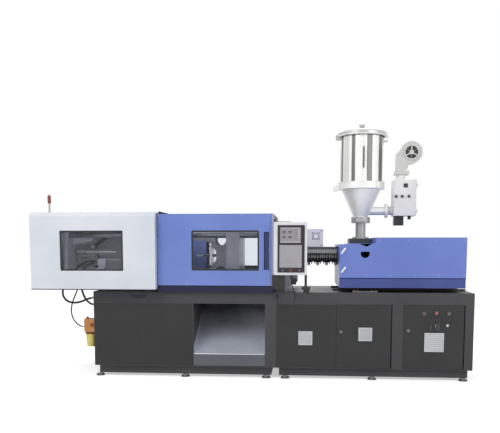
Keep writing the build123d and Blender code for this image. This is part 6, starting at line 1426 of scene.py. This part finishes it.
dress_nodes()
for node_name, second_finish, chosen_faces in SECOND_FINISHES:
    split_finish(node_name, second_finish, chosen_faces)
make_cord("hose_long", HOSE_LONG, HOSE_DIAMETER, hose_black)
make_cord("hose_short", HOSE_SHORT, HOSE_DIAMETER, hose_black)
make_cord("hose_lubricator", HOSE_LUBRICATOR, LUB_HOSE_DIAMETER, hose_black)
make_cord("panel_cable", PANEL_CABLE, CABLE_DIAMETER, cable_black)
hose_ferrules()
window_gasket("cover_window_gasket", "clamp_cover_window", COVER_FACE + 0.0012, 0.004, "root")
window_gasket("front_gate_gasket", "front_gate_window", GATE_FACE, 0.003, "front_gate")
window_gasket("rear_gate_gasket", "rear_gate_window", -GATE_FACE, -0.003, "rear_gate")
base_details()
cabinet_details()
clamp_details()
panel_details()
injection_details()
hopper_details()
dryer_details()
lubricator_details()

# Camera at the photograph's place and angle
CAMERA_PLACE = (0.239, -7.201, 1.398)
CAMERA_TILT = 0.096
CAMERA_TURN = 0.082
CAMERA_LENS = 46.37
CAMERA_SHIFT = 0.18
camera_data = bpy.data.cameras.new("Camera")
camera_data.lens = CAMERA_LENS
camera_data.sensor_width = 36.0
camera_data.sensor_fit = "HORIZONTAL"
camera_data.shift_y = CAMERA_SHIFT
camera = bpy.data.objects.new("Camera", camera_data)
camera.location = CAMERA_PLACE
camera.rotation_euler = (pi / 2 - CAMERA_TILT, 0, CAMERA_TURN)
bpy.context.scene.collection.objects.link(camera)
bpy.context.scene.camera = camera

FLOOR_LIFT = 0.5
DOME_LIGHT = 0.62


def studio():
    """White surroundings, an even dome of light, soft lamps and a pale floor."""
    world = bpy.data.worlds.new("Studio")
    bpy.context.scene.world = world
    world.use_nodes = True
    tree = world.node_tree
    tree.nodes.clear()
    rays = put(tree, "ShaderNodeLightPath").outputs
    seen = maths(tree, "MAXIMUM", rays["Is Camera Ray"], rays["Is Transmission Ray"])
    mirrored = maths(tree, "MAXIMUM", seen, rays["Is Glossy Ray"])
    strength = remap(tree, mirrored, 0, 1, DOME_LIGHT, 1.0)
    background = put(tree, "ShaderNodeBackground", {"Color": (1, 1, 1, 1), "Strength": strength})
    tree.links.new(background.outputs[0], put(tree, "ShaderNodeOutputWorld").inputs["Surface"])
    lamps = (
        ("Key", (-3.2, -4.6, 5.6), (0.2, 0.0, 1.0), 3.2, 150.0),
        ("Fill", (4.6, -4.2, 3.4), (0.2, 0.0, 1.0), 3.6, 70.0),
        ("Rear", (0.5, 4.8, 4.8), (0.0, 0.0, 1.2), 3.6, 110.0),
    )
    for name, place, target, size, power in lamps:
        light = bpy.data.lights.new(name, "AREA")
        light.shape = "SQUARE"
        light.size = size
        light.energy = power
        lamp = bpy.data.objects.new(name, light)
        lamp.location = place
        lamp.rotation_euler = (Vector(target) - Vector(place)).to_track_quat("-Z", "Y").to_euler()
        bpy.context.scene.collection.objects.link(lamp)
    mesh = bmesh.new()
    bmesh.ops.create_grid(mesh, x_segments=2, y_segments=2, size=30)
    data = bpy.data.meshes.new("Floor")
    mesh.to_mesh(data)
    mesh.free()
    floor = bpy.data.objects.new("Floor", data)
    bpy.context.scene.collection.objects.link(floor)
    material, tree, shader = new_material("Pale floor")
    shader.inputs["Base Color"].default_value = (0.86, 0.86, 0.86, 1)
    shader.inputs["Roughness"].default_value = 0.9
    shader.inputs["Specular IOR Level"].default_value = 0.1
    rays = put(tree, "ShaderNodeLightPath").outputs
    seen = maths(tree, "MAXIMUM", rays["Is Camera Ray"], rays["Is Transmission Ray"])
    lift = maths(tree, "MAXIMUM", seen, rays["Is Glossy Ray"])
    tree.links.new(maths(tree, "MULTIPLY", lift, FLOOR_LIFT), shader.inputs["Emission Strength"])
    shader.inputs["Emission Color"].default_value = (1, 1, 1, 1)
    data.materials.append(material)


studio()
bpy.context.scene.view_settings.view_transform = "Standard"
